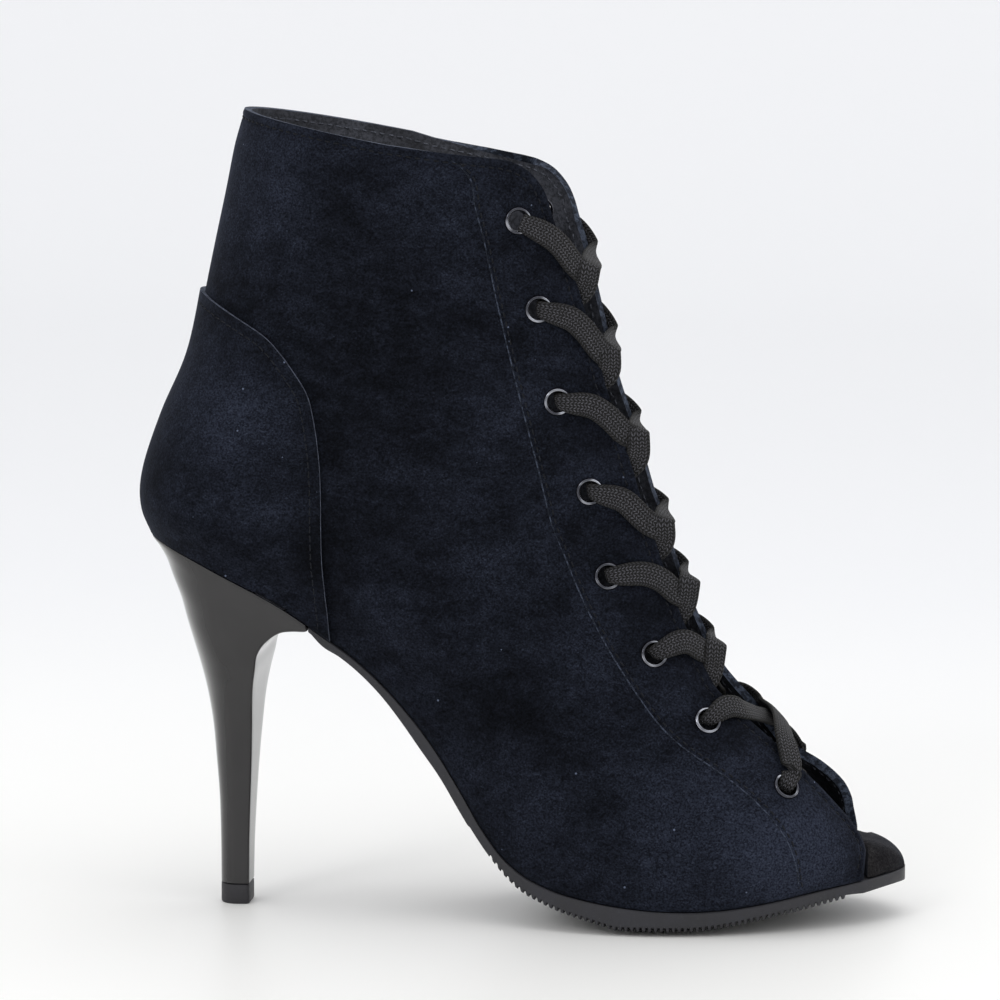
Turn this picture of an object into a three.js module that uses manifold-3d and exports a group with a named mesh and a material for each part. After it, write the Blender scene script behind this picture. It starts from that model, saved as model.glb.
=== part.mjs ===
// A lace-up ankle boot with an open toe and a stiletto heel, for the right foot, standing on its sole.
// Millimetres. The toe points along +X, the inner side of the foot is +Y and the outer side is -Y.

import * as THREE from 'three';
import { mergeVertices } from 'three/addons/utils/BufferGeometryUtils.js';
import Module from 'manifold-3d';

const wasm = await Module();
wasm.setup();

// Driving dimensions
const footLength = 211.2;          // rearmost point of the counter to the tip of the toe, along the floor
const heelHeight = 103.8;          // floor to the back of the heel seat
const bootHeight = 220.3;          // floor to the back of the collar
const ballWidth = 76;
const seatWidth = 48;
const ankleWidth = 58;
const collarWidth = 61;
const throatGap = 39;              // between the two flaps, half way down the lacing
const toeSpring = 6.6;             // rise of the bed from the ball to the tip of the toe
const soleThickness = 6.7;         // under the ball, at the centre line
const soleEdgeLift = 1.5;          // the tread curves up this much towards the edge
const soleMargin = 0.6;            // the sole stands proud of the upper
const waistStep = 0.5;             // step down from the forefoot sole to the waist
const innerDrop = 2.6;             // the inner side of the collar is lower, most at the flap
const upperWall = 2;               // suede and lining together
const counterThickness = 1.2;
const counterLength = 55;
const counterRise = 66;            // top of the counter above the heel seat
const insoleThickness = 2.6;
const toePadThickness = 9.6;
const topPieceHeight = 5.5;
const heelTipLength = 8.4;
const heelTipWidth = 11;
const heelTipSetback = 21.8;       // rearmost point of the counter to the back of the heel tip
const eyeletCount = 8;
const eyeletPitch = 23.4;
const eyeletFirst = 0.8;           // below the rounded corner of the flap
const eyeletSetback = 12;          // from the edge of the flap
const eyeletHole = 5.4;
const eyeletFlange = 7.5;
const eyeletRise = 0.7;
const laceWidth = 6.6;
const laceThickness = 1.5;
const clearance = 0.3;             // between pieces that touch

const bedHeight = soleThickness + clearance;
const degree = Math.PI / 180;

// Outline of the bottom edge of the upper. Each row adds a share of the seat width and of the ball width.
const outlineRows = [
  { along: 0.000, seat: 0.500, ball: 0.000, centre: 0.000 },
  { along: 0.133, seat: 0.500, ball: 0.000, centre: 0.000 },
  { along: 0.213, seat: 0.486, ball: 0.000, centre: 0.000 },
  { along: 0.284, seat: 0.220, ball: 0.145, centre: -0.007 },
  { along: 0.355, seat: 0.100, ball: 0.207, centre: -0.016 },
  { along: 0.426, seat: 0.000, ball: 0.286, centre: -0.030 },
  { along: 0.497, seat: 0.000, ball: 0.349, centre: -0.033 },
  { along: 0.568, seat: 0.000, ball: 0.428, centre: -0.020 },
  { along: 0.663, seat: 0.000, ball: 0.493, centre: 0.000 },
  { along: 0.758, seat: 0.000, ball: 0.489, centre: 0.020 },
  { along: 0.852, seat: 0.000, ball: 0.420, centre: 0.029 },
  { along: 0.923, seat: 0.000, ball: 0.306, centre: 0.026 },
  { along: 0.971, seat: 0.000, ball: 0.236, centre: 0.026 },
  { along: 1.000, seat: 0.000, ball: 0.180, centre: 0.026 },
];

// Height of the bed that the foot stands on: a share of the heel's rise and a share of the toe spring
const bedRows = [
  { along: 0.000, rise: 1.004, spring: 0 },
  { along: 0.014, rise: 1.000, spring: 0 },
  { along: 0.071, rise: 0.960, spring: 0 },
  { along: 0.142, rise: 0.887, spring: 0 },
  { along: 0.204, rise: 0.813, spring: 0 },
  { along: 0.256, rise: 0.733, spring: 0 },
  { along: 0.303, rise: 0.655, spring: 0 },
  { along: 0.353, rise: 0.545, spring: 0 },
  { along: 0.393, rise: 0.437, spring: 0 },
  { along: 0.432, rise: 0.306, spring: 0 },
  { along: 0.459, rise: 0.209, spring: 0 },
  { along: 0.485, rise: 0.136, spring: 0 },
  { along: 0.512, rise: 0.087, spring: 0 },
  { along: 0.549, rise: 0.050, spring: 0 },
  { along: 0.597, rise: 0.025, spring: 0 },
  { along: 0.653, rise: 0.008, spring: 0 },
  { along: 0.710, rise: 0, spring: 0 },
  { along: 0.772, rise: 0, spring: 0.05 },
  { along: 0.843, rise: 0, spring: 0.36 },
  { along: 0.881, rise: 0, spring: 0.58 },
  { along: 0.923, rise: 0, spring: 0.78 },
  { along: 0.961, rise: 0, spring: 0.93 },
  { along: 1.000, rise: 0, spring: 1.00 },
];

// Underside of the outsole at its centre line, and how much of the edge lift each row has
const underRows = [
  { along: 0.236, rise: 0.763, spring: 0, lift: 0 },
  { along: 0.251, rise: 0.729, spring: 0, lift: 0 },
  { along: 0.275, rise: 0.697, spring: 0, lift: 0 },
  { along: 0.301, rise: 0.653, spring: 0, lift: 0 },
  { along: 0.327, rise: 0.598, spring: 0, lift: 0 },
  { along: 0.353, rise: 0.531, spring: 0, lift: 0 },
  { along: 0.379, rise: 0.458, spring: 0, lift: 0 },
  { along: 0.405, rise: 0.386, spring: 0, lift: 0 },
  { along: 0.432, rise: 0.297, spring: 0, lift: 0 },
  { along: 0.459, rise: 0.214, spring: 0, lift: 0.1 },
  { along: 0.485, rise: 0.147, spring: 0, lift: 0.2 },
  { along: 0.512, rise: 0.095, spring: 0, lift: 0.4 },
  { along: 0.538, rise: 0.066, spring: 0, lift: 0.6 },
  { along: 0.569, rise: 0.040, spring: 0, lift: 0.8 },
  { along: 0.606, rise: 0.017, spring: 0, lift: 1 },
  { along: 0.639, rise: 0, spring: 0, lift: 1 },
  { along: 0.730, rise: 0, spring: 0, lift: 1 },
  { along: 0.763, rise: 0, spring: 0.09, lift: 1 },
  { along: 0.796, rise: 0, spring: 0.27, lift: 1 },
  { along: 0.843, rise: 0, spring: 0.55, lift: 1 },
  { along: 0.888, rise: 0, spring: 0.84, lift: 0.9 },
  { along: 0.928, rise: 0, spring: 1.12, lift: 0.7 },
  { along: 0.970, rise: 0, spring: 1.38, lift: 0.5 },
  { along: 1.000, rise: 0, spring: 1.46, lift: 0.4 },
];

// Sections of the upper, from the collar down to the heel seat. back lies on the back seam, side where the
// round back goes over into the side, and throat on the edge of the flap. Heights of the shaft are shares of
// its rise above the heel seat, and high is a share of the boot's height. square is the share of the seat's
// outline in the shape of the back, and crest the place of the full width between side and throat.
const shaftRows = [
  { back: 0.1411, up: 1.000, side: 0.3409, sideUp: 0.931, throat: 0.483, high: 0.943, collar: 0.50, ankle: 0.00, gap: 0.66, square: 0, crest: 0.20, lead: 0.004 },
  { back: 0.1397, up: 0.989, side: 0.3385, sideUp: 0.922, throat: 0.502, high: 0.938, collar: 0.50, ankle: 0.00, gap: 0.63, square: 0, crest: 0.20, lead: 0.006 },
  { back: 0.1378, up: 0.977, side: 0.3362, sideUp: 0.913, throat: 0.521, high: 0.926, collar: 0.50, ankle: 0.00, gap: 0.59, square: 0, crest: 0.20, lead: 0.009 },
  { back: 0.1345, up: 0.957, side: 0.3333, sideUp: 0.893, throat: 0.537, high: 0.905, collar: 0.48, ankle: 0.02, gap: 0.56, square: 0, crest: 0.20, lead: 0.011 },
  { back: 0.1307, up: 0.934, side: 0.3295, sideUp: 0.869, throat: 0.545, high: 0.883, collar: 0.45, ankle: 0.05, gap: 0.54, square: 0, crest: 0.20, lead: 0.013 },
  { back: 0.1260, up: 0.901, side: 0.3248, sideUp: 0.837, throat: 0.5515, high: 0.860, collar: 0.42, ankle: 0.08, gap: 0.52, square: 0, crest: 0.20, lead: 0.013 },
  { back: 0.1151, up: 0.808, side: 0.3163, sideUp: 0.743, throat: 0.569, high: 0.815, collar: 0.30, ankle: 0.20, gap: 0.51, square: 0, crest: 0.20, lead: 0.009 },
  { back: 0.0933, up: 0.619, side: 0.2969, sideUp: 0.557, throat: 0.592, high: 0.743, collar: 0.10, ankle: 0.40, gap: 0.50, square: 0.1, crest: 0.20, lead: 0.003 },
  { back: 0.0706, up: 0.429, side: 0.2694, sideUp: 0.362, throat: 0.616, high: 0.657, collar: 0.00, ankle: 0.50, gap: 0.49, square: 0.3, crest: 0.20, lead: 0 },
  { back: 0.0358, up: 0.281, side: 0.2320, sideUp: 0.191, throat: 0.633, high: 0.605, collar: 0.00, ankle: 0.50, gap: 0.49, square: 0.5, crest: 0.20, lead: 0 },
  { back: 0.0114, up: 0.150, side: 0.2100, sideUp: 0.030, throat: 0.650, high: 0.554, collar: 0.00, ankle: 0.49, gap: 0.49, square: 0.8, crest: 0.20, lead: 0 },
  { back: 0.0085, up: 0.066, side: 0.2036, sideUp: -0.076, throat: 0.664, high: 0.506, collar: 0.00, ankle: 0.468, gap: 0.49, square: 1, crest: 0.22, lead: 0 },
  { back: 0.0222, up: 0.000, side: 0.2036, sideUp: -0.157, throat: 0.676, high: 0.474, collar: 0.00, ankle: 0.421, gap: 0.49, square: 1, crest: 0.24, lead: 0 },
];

// Sections of the upper along the foot. side is where the section meets the bed, and round is the share of
// a round bottom edge in its rise to the full width.
const footRows = [
  { side: 0.256, throat: 0.6875, high: 0.436, outer: 0.393, inner: 0.384, gap: 0.48, round: 0.30, crest: 0.28, lead: 0 },
  { side: 0.302, throat: 0.700, high: 0.399, outer: 0.400, inner: 0.382, gap: 0.48, round: 0.45, crest: 0.32, lead: 0 },
  { side: 0.353, throat: 0.7145, high: 0.361, outer: 0.411, inner: 0.385, gap: 0.47, round: 0.50, crest: 0.36, lead: 0 },
  { side: 0.398, throat: 0.7295, high: 0.327, outer: 0.425, inner: 0.395, gap: 0.47, round: 0.55, crest: 0.38, lead: 0 },
  { side: 0.436, throat: 0.743, high: 0.299, outer: 0.441, inner: 0.411, gap: 0.47, round: 0.60, crest: 0.38, lead: 0 },
  { side: 0.473, throat: 0.757, high: 0.274, outer: 0.459, inner: 0.433, gap: 0.47, round: 0.60, crest: 0.38, lead: 0 },
  { side: 0.521, throat: 0.779, high: 0.250, outer: 0.483, inner: 0.463, gap: 0.47, round: 0.65, crest: 0.36, lead: -0.002 },
  { side: 0.578, throat: 0.805, high: 0.228, outer: 0.501, inner: 0.492, gap: 0.47, round: 0.70, crest: 0.34, lead: -0.0076 },
  { side: 0.644, throat: 0.836, high: 0.201, outer: 0.512, inner: 0.512, gap: 0.47, round: 0.70, crest: 0.33, lead: -0.0164 },
  { side: 0.710, throat: 0.865, high: 0.173, outer: 0.507, inner: 0.522, gap: 0.47, round: 0.70, crest: 0.33, lead: -0.0194 },
  { side: 0.772, throat: 0.889, high: 0.150, outer: 0.480, inner: 0.516, gap: 0.46, round: 0.70, crest: 0.33, lead: -0.004 },
  { side: 0.829, throat: 0.910, high: 0.1275, outer: 0.432, inner: 0.486, gap: 0.45, round: 0.70, crest: 0.34, lead: 0.002 },
  { side: 0.876, throat: 0.927, high: 0.108, outer: 0.369, inner: 0.432, gap: 0.43, round: 0.70, crest: 0.36, lead: -0.003 },
  { side: 0.914, throat: 0.9395, high: 0.0905, outer: 0.303, inner: 0.368, gap: 0.41, round: 0.70, crest: 0.38, lead: -0.0114 },
  { side: 0.937, throat: 0.947, high: 0.076, outer: 0.254, inner: 0.319, gap: 0.40, round: 0.70, crest: 0.42, lead: -0.016 },
  { side: 0.9485, throat: 0.9505, high: 0.063, outer: 0.227, inner: 0.292, gap: 0.40, round: 0.70, crest: 0.45, lead: -0.0175 },
];

// Front edge of the counter, from the feather up to the back of the shaft, as shares of its length and rise
const counterRows = [
  { along: 1.020, up: -0.60 },
  { along: 1.004, up: -0.30 },
  { along: 0.985, up: -0.10 },
  { along: 0.982, up: 0.08 },
  { along: 0.982, up: 0.22 },
  { along: 0.974, up: 0.35 },
  { along: 0.950, up: 0.51 },
  { along: 0.918, up: 0.62 },
  { along: 0.853, up: 0.71 },
  { along: 0.769, up: 0.80 },
  { along: 0.690, up: 0.86 },
  { along: 0.560, up: 0.92 },
  { along: 0.400, up: 0.985 },
  { along: 0.300, up: 1.02 },
  { along: 0.100, up: 1.05 },
];

// Sections of the heel, from the seat down: back and front points and the full half width
const heelRows = [
  { back: 0.0160, backUp: 0.997, front: 0.2330, frontUp: 0.782, wide: 0.535, bow: 1 },
  { back: 0.0245, backUp: 0.973, front: 0.2150, frontUp: 0.770, wide: 0.526, bow: 1 },
  { back: 0.0345, backUp: 0.940, front: 0.2000, frontUp: 0.761, wide: 0.515, bow: 0.8 },
  { back: 0.0435, backUp: 0.892, front: 0.1866, frontUp: 0.746, wide: 0.500, bow: 0.5 },
  { back: 0.0540, backUp: 0.838, front: 0.1742, frontUp: 0.722, wide: 0.484, bow: 0.2 },
  { back: 0.0620, backUp: 0.780, front: 0.1660, frontUp: 0.692, wide: 0.464, bow: 0 },
  { back: 0.0703, backUp: 0.722, front: 0.1625, frontUp: 0.653, wide: 0.430, bow: 0 },
  { back: 0.0795, backUp: 0.655, front: 0.1577, frontUp: 0.603, wide: 0.366, bow: 0 },
  { back: 0.0880, backUp: 0.578, front: 0.1544, frontUp: 0.545, wide: 0.292, bow: 0 },
  { back: 0.0945, backUp: 0.491, front: 0.1522, frontUp: 0.477, wide: 0.236, bow: 0 },
  { back: 0.0982, backUp: 0.395, front: 0.1496, frontUp: 0.391, wide: 0.184, bow: 0 },
  { back: 0.1018, backUp: 0.289, front: 0.1468, frontUp: 0.289, wide: 0.154, bow: 0 },
  { back: 0.1030, backUp: 0.173, front: 0.1442, frontUp: 0.173, wide: 0.131, bow: 0 },
];

// Places of the eyelets: steps of the pitch down the flap, and shares of the setback
const eyeletRows = [
  { step: 0.00, back: 0.93 },
  { step: 1.01, back: 1.08 },
  { step: 2.06, back: 1.20 },
  { step: 3.07, back: 1.08 },
  { step: 4.05, back: 1.28 },
  { step: 5.00, back: 0.98 },
  { step: 5.87, back: 0.76 },
  { step: 7.00, back: 0.76 },
];

function material(color, roughness, metalness) {
  return new THREE.MeshStandardMaterial({ color, roughness, metalness });
}

const suede = material(0x141a26, 0.95, 0);
const heelLacquer = material(0x2b2b2d, 0.35, 0);
const soleRubber = material(0x2b2b2e, 0.7, 0);
const insoleSuede = material(0x17171a, 0.95, 0);
const gunmetal = material(0x6d6f75, 0.3, 1);
const laceBraid = material(0x2a2825, 0.85, 0);

function lerp(a, b, t) {
  return a + (b - a) * t;
}

// A smooth curve through a column of a table, with a parabola's slope at each row
function smoothColumn(places, values) {
  const last = places.length - 1;
  const secant = (i) => (values[i + 1] - values[i]) / (places[i + 1] - places[i]);
  const slopes = places.map((place, i) => {
    if (i === 0) return secant(0);
    if (i === last) return secant(last - 1);
    const before = places[i] - places[i - 1];
    const after = places[i + 1] - places[i];
    return (secant(i - 1) * after + secant(i) * before) / (before + after);
  });
  return (x) => {
    let i = 0;
    while (i < last - 1 && x > places[i + 1]) i += 1;
    const span = places[i + 1] - places[i];
    const t = Math.min(Math.max((x - places[i]) / span, 0), 1);
    const t2 = t * t;
    const t3 = t2 * t;
    return values[i] * (2 * t3 - 3 * t2 + 1) + values[i + 1] * (3 * t2 - 2 * t3)
      + span * (slopes[i] * (t3 - 2 * t2 + t) + slopes[i + 1] * (t3 - t2));
  };
}

// Outline of the bottom edge, round at the heel and at the toe
const seatRadius = seatWidth / 2;
const heelBack = shaftRows[shaftRows.length - 1].back * footLength;
const toeRound = 0.923 * footLength;
const outlinePlaces = outlineRows.map((row) => row.along * footLength);
const outlineHalf = smoothColumn(outlinePlaces, outlineRows.map((row) => row.seat * seatWidth + row.ball * ballWidth));
const outlineCentre = smoothColumn(outlinePlaces, outlineRows.map((row) => row.centre * ballWidth));

function roundEnd(distance, radius) {
  const t = Math.min(Math.max(1 - distance / radius, 0), 1);
  return Math.sqrt(1 - t * t);
}

function outline(x, side) {
  const round = roundEnd(x - heelBack, seatRadius) * roundEnd(footLength - x, footLength - toeRound);
  return side * outlineHalf(x) * round + outlineCentre(x);
}

const bedPlaces = bedRows.map((row) => row.along * footLength);
const bedCurve = smoothColumn(bedPlaces, bedRows.map(
  (row) => row.rise * (heelHeight - bedHeight) + row.spring * toeSpring));

// The top of the heel and of the outsole, and the bottom edge of the upper just above it
function bed(x) {
  return bedHeight - clearance + bedCurve(x);
}

function feather(x) {
  return bed(x) + clearance;
}

// Half the width of the shaft's side. Below the ankle the back draws in to the heel seat, and the side doesn't.
function sideHalf(row) {
  return row.collar * collarWidth + (row.collar > 0 ? row.ankle : 0.5) * ankleWidth;
}

// The upper's sections as absolute sizes, with the shaft's rows first
function sectionSizes() {
  const shaft = shaftRows.map((row) => ({
    backX: row.back * footLength,
    backZ: heelHeight + row.up * (bootHeight - heelHeight),
    sideX: row.side * footLength,
    sideZ: heelHeight + row.sideUp * (bootHeight - heelHeight),
    throatX: row.throat * footLength,
    throatZ: bedHeight + row.high * (bootHeight - bedHeight),
    outer: sideHalf(row),
    inner: sideHalf(row),
    half: row.collar * collarWidth + row.ankle * ankleWidth,
    gap: row.gap * throatGap,
    crest: row.crest,
    round: 0,
    square: row.square,
    lead: row.lead * footLength,
  }));
  const foot = footRows.map((row) => ({
    backX: 0,
    backZ: 0,
    sideX: row.side * footLength,
    sideZ: 0,
    throatX: row.throat * footLength,
    throatZ: bedHeight + row.high * (bootHeight - bedHeight),
    outer: row.outer * ballWidth,
    inner: row.inner * ballWidth,
    half: 0,
    gap: row.gap * throatGap,
    crest: row.crest,
    round: row.round,
    square: 1,
    lead: row.lead * footLength,
  }));
  return shaft.concat(foot);
}

const sections = sectionSizes();
const heelSection = shaftRows.length - 1;
const lastSection = sections.length - 1;
const cornerRows = 5;              // sections 0 to 5 turn the rounded corner of the flap

// Columns that only the shaft has end at the heel seat, so that the foot's rows don't bend them
function sectionColumn(key, last) {
  const rows = sections.slice(0, last + 1);
  return smoothColumn(rows.map((row, i) => i), rows.map((row) => row[key]));
}

const shaftKeys = ['backX', 'backZ', 'half', 'square', 'sideZ'];
const wholeKeys = ['sideX', 'throatX', 'throatZ', 'outer', 'inner', 'gap', 'crest', 'round', 'lead'];
const sectionCurve = {};
for (const key of shaftKeys) sectionCurve[key] = sectionColumn(key, heelSection);
for (const key of wholeKeys) sectionCurve[key] = sectionColumn(key, lastSection);

// From v = 0 to this column the section rises to its full width, and from there it closes in to the throat
const crestColumn = 0.4;

function sectionAt(s) {
  const row = {};
  for (const key of Object.keys(sectionCurve)) row[key] = sectionCurve[key](s);
  return row;
}

// How much of the way down to the heel seat a row of the shaft has gone, over its last three sections
function nearSeat(s) {
  const t = Math.min(Math.max((s - heelSection + 3) / 3, 0), 1);
  return t * t * (3 - 2 * t);
}

// The round back: v runs from -1 on the back seam to 0 on the side
function backPoint(side, s, v) {
  const row = sectionAt(s);
  const turn = (v + 1) * Math.PI / 2;
  const share = 1 - Math.cos(turn);
  const x = lerp(row.backX, row.sideX, share);
  const seatX = lerp(heelBack, shaftRows[heelSection].side * footLength, share);
  const seatEnd = outline(shaftRows[heelSection].side * footLength, side);
  const likeSeat = outline(seatX, side) / seatEnd;
  const half = lerp(row.half, Math.abs(seatEnd), nearSeat(s) ** 4);
  const out = half * lerp(Math.sin(turn), likeSeat, row.square);
  const chord = lerp(row.backZ, row.sideZ, share);
  const hug = feather(x) - lerp(feather(row.backX), feather(row.sideX), share);
  return new THREE.Vector3(x, side * out, s >= heelSection ? feather(x) : chord + hug * nearSeat(s));
}

// The side and the flap: v runs from 0 on the side, or on the bed, to 1 on the edge of the throat
function frontPoint(side, s, v) {
  const row = sectionAt(s);
  const lead = side > 0 ? row.lead : 0;
  const onFoot = s >= heelSection;
  const sideX = row.sideX + (onFoot ? lead : 0);
  const foot = onFoot ? new THREE.Vector3(sideX, outline(sideX, side), feather(sideX)) : backPoint(side, s, 0);
  const start = Math.abs(foot.y);
  const full = Math.max(side > 0 ? row.inner : row.outer, start + 0.05);
  const end = Math.acos(Math.min(row.gap / full, 0.98));
  let along;
  let out;
  if (v < crestColumn) {
    const rise = v / crestColumn;
    along = row.crest * rise;
    const soft = rise * rise * (3 - 2 * rise);
    const round = Math.sqrt(1 - (1 - rise) ** 2);
    out = lerp(start, full, lerp(soft, round, row.round));
  } else {
    const turn = end * (v - crestColumn) / (1 - crestColumn);
    along = row.crest + (1 - row.crest) * Math.sin(turn) / Math.sin(end);
    out = full * Math.cos(turn);
  }
  const drop = side > 0 ? innerDrop * Math.max(1 - s / (cornerRows + 2), 0) * v : 0;
  return new THREE.Vector3(
    lerp(foot.x, row.throatX + lead, along),
    side * out,
    lerp(foot.z, row.throatZ, along) - drop);
}

// A point of the upper's outer surface: s runs down the sections, and v from the back seam to the throat
function surfacePoint(side, s, v) {
  return v < 0 ? backPoint(side, s, v) : frontPoint(side, s, v);
}

function surfaceNormal(side, s, v) {
  const step = 0.02;
  const lowest = s > heelSection ? 0 : -1;
  const s0 = Math.max(s - step, 0);
  const s1 = v < 0 ? Math.min(s + step, heelSection) : Math.min(s + step, lastSection);
  const v0 = Math.max(v - step, lowest);
  const v1 = Math.min(v + step, 1);
  const down = surfacePoint(side, s1, v).sub(surfacePoint(side, s0, v));
  const across = surfacePoint(side, s, v1).sub(surfacePoint(side, s, v0));
  const normal = across.cross(down).multiplyScalar(side).normalize();
  if (v === -1) normal.setY(0).normalize();
  return normal;
}

// The bottom edge runs along the last row of the back and along v = 0 of the foot
function onBottomEdge(s, v) {
  return v <= 0 && s >= heelSection;
}

// The same surface moved out by a distance. The bottom edge stays on the bed.
function offsetPoint(side, s, v, distance) {
  const point = surfacePoint(side, s, v);
  const normal = surfaceNormal(side, s, v);
  if (onBottomEdge(s, v)) {
    normal.setZ(0).normalize();
    point.addScaledVector(normal, distance);
    return point.setZ(feather(point.x));
  }
  return point.addScaledVector(normal, distance);
}

// Turns rows of points and triangles into a geometry whose shared points are merged
class Shell {
  constructor() {
    this.points = [];
    this.faces = [];
  }

  point(p) {
    this.points.push(p.x, p.y, p.z);
    return this.points.length / 3 - 1;
  }

  quad(a, b, c, d) {
    this.triangle(a, b, c);
    this.triangle(a, c, d);
  }

  triangle(a, b, c) {
    if (a !== b && b !== c && c !== a) this.faces.push(a, b, c);
  }

  geometry() {
    const geometry = new THREE.BufferGeometry();
    geometry.setAttribute('position', new THREE.Float32BufferAttribute(this.points, 3));
    geometry.setIndex(this.faces);
    return geometry;
  }
}

// A closed shell between two offsets of the upper's surface, over the given rows and columns of both sides
function upperShell(rows, columns, outside, inside) {
  const shell = new Shell();
  const layers = [outside, inside].map((distance) => [-1, 1].map((side) => rows.map(
    (s) => columns.map((v) => {
      if (v < 0 && s > heelSection) return null;
      if (side > 0 && v === -1) return null;
      return shell.point(offsetPoint(side, s, v, distance));
    }))));
  for (const layer of layers) {
    rows.forEach((s, i) => {
      if (s <= heelSection) layer[1][i][0] = layer[0][i][0];
    });
  }
  const lastRow = rows.length - 1;
  const lastColumn = columns.length - 1;
  const put = (flip, a, b, c, d) => (flip ? shell.quad(d, c, b, a) : shell.quad(a, b, c, d));
  [false, true].forEach((medial, sideIndex) => {
    const outer = layers[0][sideIndex];
    const inner = layers[1][sideIndex];
    for (let i = 0; i < lastRow; i += 1) {
      const onFoot = rows[i] >= heelSection;
      for (let j = 0; j < lastColumn; j += 1) {
        if (onFoot && columns[j] < 0) continue;
        put(medial, outer[i][j], outer[i + 1][j], outer[i + 1][j + 1], outer[i][j + 1]);
        put(!medial, inner[i][j], inner[i + 1][j], inner[i + 1][j + 1], inner[i][j + 1]);
        if (onFoot && columns[j] === 0) put(!medial, outer[i][j], outer[i + 1][j], inner[i + 1][j], inner[i][j]);
      }
      put(medial, outer[i][lastColumn], outer[i + 1][lastColumn], inner[i + 1][lastColumn], inner[i][lastColumn]);
    }
    for (let j = 0; j < lastColumn; j += 1) {
      const end = columns[j] < 0 ? rows.indexOf(heelSection) : lastRow;
      put(medial, outer[0][j], outer[0][j + 1], inner[0][j + 1], inner[0][j]);
      put(!medial, outer[end][j], outer[end][j + 1], inner[end][j + 1], inner[end][j]);
    }
  });
  return shell.geometry();
}

function solid(geometry) {
  const bare = geometry.clone();
  bare.deleteAttribute('normal');
  bare.deleteAttribute('uv');
  const merged = mergeVertices(bare, 1e-5);
  return new wasm.Manifold(new wasm.Mesh({
    numProp: 3,
    vertProperties: new Float32Array(merged.attributes.position.array),
    triVerts: new Uint32Array(merged.index.array),
  }));
}

function solidGeometry(body) {
  const mesh = body.getMesh();
  const geometry = new THREE.BufferGeometry();
  geometry.setAttribute('position', new THREE.Float32BufferAttribute(mesh.vertProperties, 3));
  geometry.setIndex(Array.from(mesh.triVerts));
  return geometry;
}

function steps(from, to, count) {
  return Array.from({ length: count + 1 }, (_, i) => lerp(from, to, i / count));
}

const upperRows = steps(0, cornerRows, cornerRows)
  .concat(steps(cornerRows, heelSection, 11).slice(1))
  .concat(steps(heelSection, heelSection + 7, 11).slice(1))
  .concat(steps(heelSection + 7, lastSection, 11).slice(1));
const upperColumns = steps(-1, 0, 6)
  .concat(steps(0, crestColumn, 3).slice(1))
  .concat(steps(crestColumn, 1, 5).slice(1));

// Length down the edge of the flap, measured from the end of its rounded corner
function throatPlace(side, length) {
  const fine = steps(cornerRows, lastSection, 400);
  let travelled = 0;
  for (let i = 0; i + 1 < fine.length; i += 1) {
    const a = surfacePoint(side, fine[i], 1);
    const b = surfacePoint(side, fine[i + 1], 1);
    const step = a.distanceTo(b);
    if (travelled + step >= length) return lerp(fine[i], fine[i + 1], (length - travelled) / step);
    travelled += step;
  }
  return lastSection;
}

// The column that lies a distance behind the flap's edge, measured over the surface
function columnBehind(side, s, distance) {
  let travelled = 0;
  let v = 1;
  let here = surfacePoint(side, s, v);
  const step = 0.005;
  while (travelled < distance && v > -1) {
    const next = surfacePoint(side, s, v - step);
    travelled += next.distanceTo(here);
    here = next;
    v -= step;
  }
  return v;
}

const eyeletPlaces = [-1, 1].map((side) => eyeletRows.slice(0, eyeletCount).map((row) => {
  const s = throatPlace(side, eyeletFirst + row.step * eyeletPitch);
  return { side, s, v: columnBehind(side, s, row.back * eyeletSetback) };
}));

// Places a geometry made along Y so that its axis is the surface's normal at an eyelet
function seatOnSurface(geometry, place, lift) {
  const normal = surfaceNormal(place.side, place.s, place.v);
  const turn = new THREE.Quaternion().setFromUnitVectors(new THREE.Vector3(0, 1, 0), normal);
  const point = surfacePoint(place.side, place.s, place.v).addScaledVector(normal, lift);
  return geometry.applyQuaternion(turn).translate(point.x, point.y, point.z);
}

const barrelRadius = eyeletHole / 2 + 0.5;
const holeRadius = barrelRadius + clearance;

function makeUpper() {
  let body = solid(upperShell(upperRows, upperColumns, 0, -upperWall));
  for (const place of eyeletPlaces.flat()) {
    const drill = new THREE.CylinderGeometry(holeRadius, holeRadius, upperWall * 4, 12);
    body = body.subtract(solid(seatOnSurface(drill, place, 0)));
  }
  return solidGeometry(body);
}

// The counter is cut from a thin shell over the back of the upper, along its curved front edge
function makeCounter() {
  const rows = upperRows.filter((s) => s >= cornerRows + 1 && s <= heelSection + 2);
  const columns = upperColumns.filter((v) => v <= crestColumn + 0.1);
  const shell = solid(upperShell(rows, columns, clearance + counterThickness, clearance));
  const edge = counterRows.map((row) => new THREE.Vector2(
    row.along * counterLength, heelHeight + row.up * counterRise));
  const shape = new THREE.Shape([
    ...edge,
    new THREE.Vector2(-counterLength, heelHeight + counterRise * 1.05),
    new THREE.Vector2(-counterLength, heelHeight - counterRise * 0.6),
  ]);
  const cutter = new THREE.ExtrudeGeometry(shape, { depth: collarWidth * 2, bevelEnabled: false });
  cutter.rotateX(Math.PI / 2).translate(0, collarWidth, 0);
  return solidGeometry(shell.intersect(solid(cutter)));
}

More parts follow.
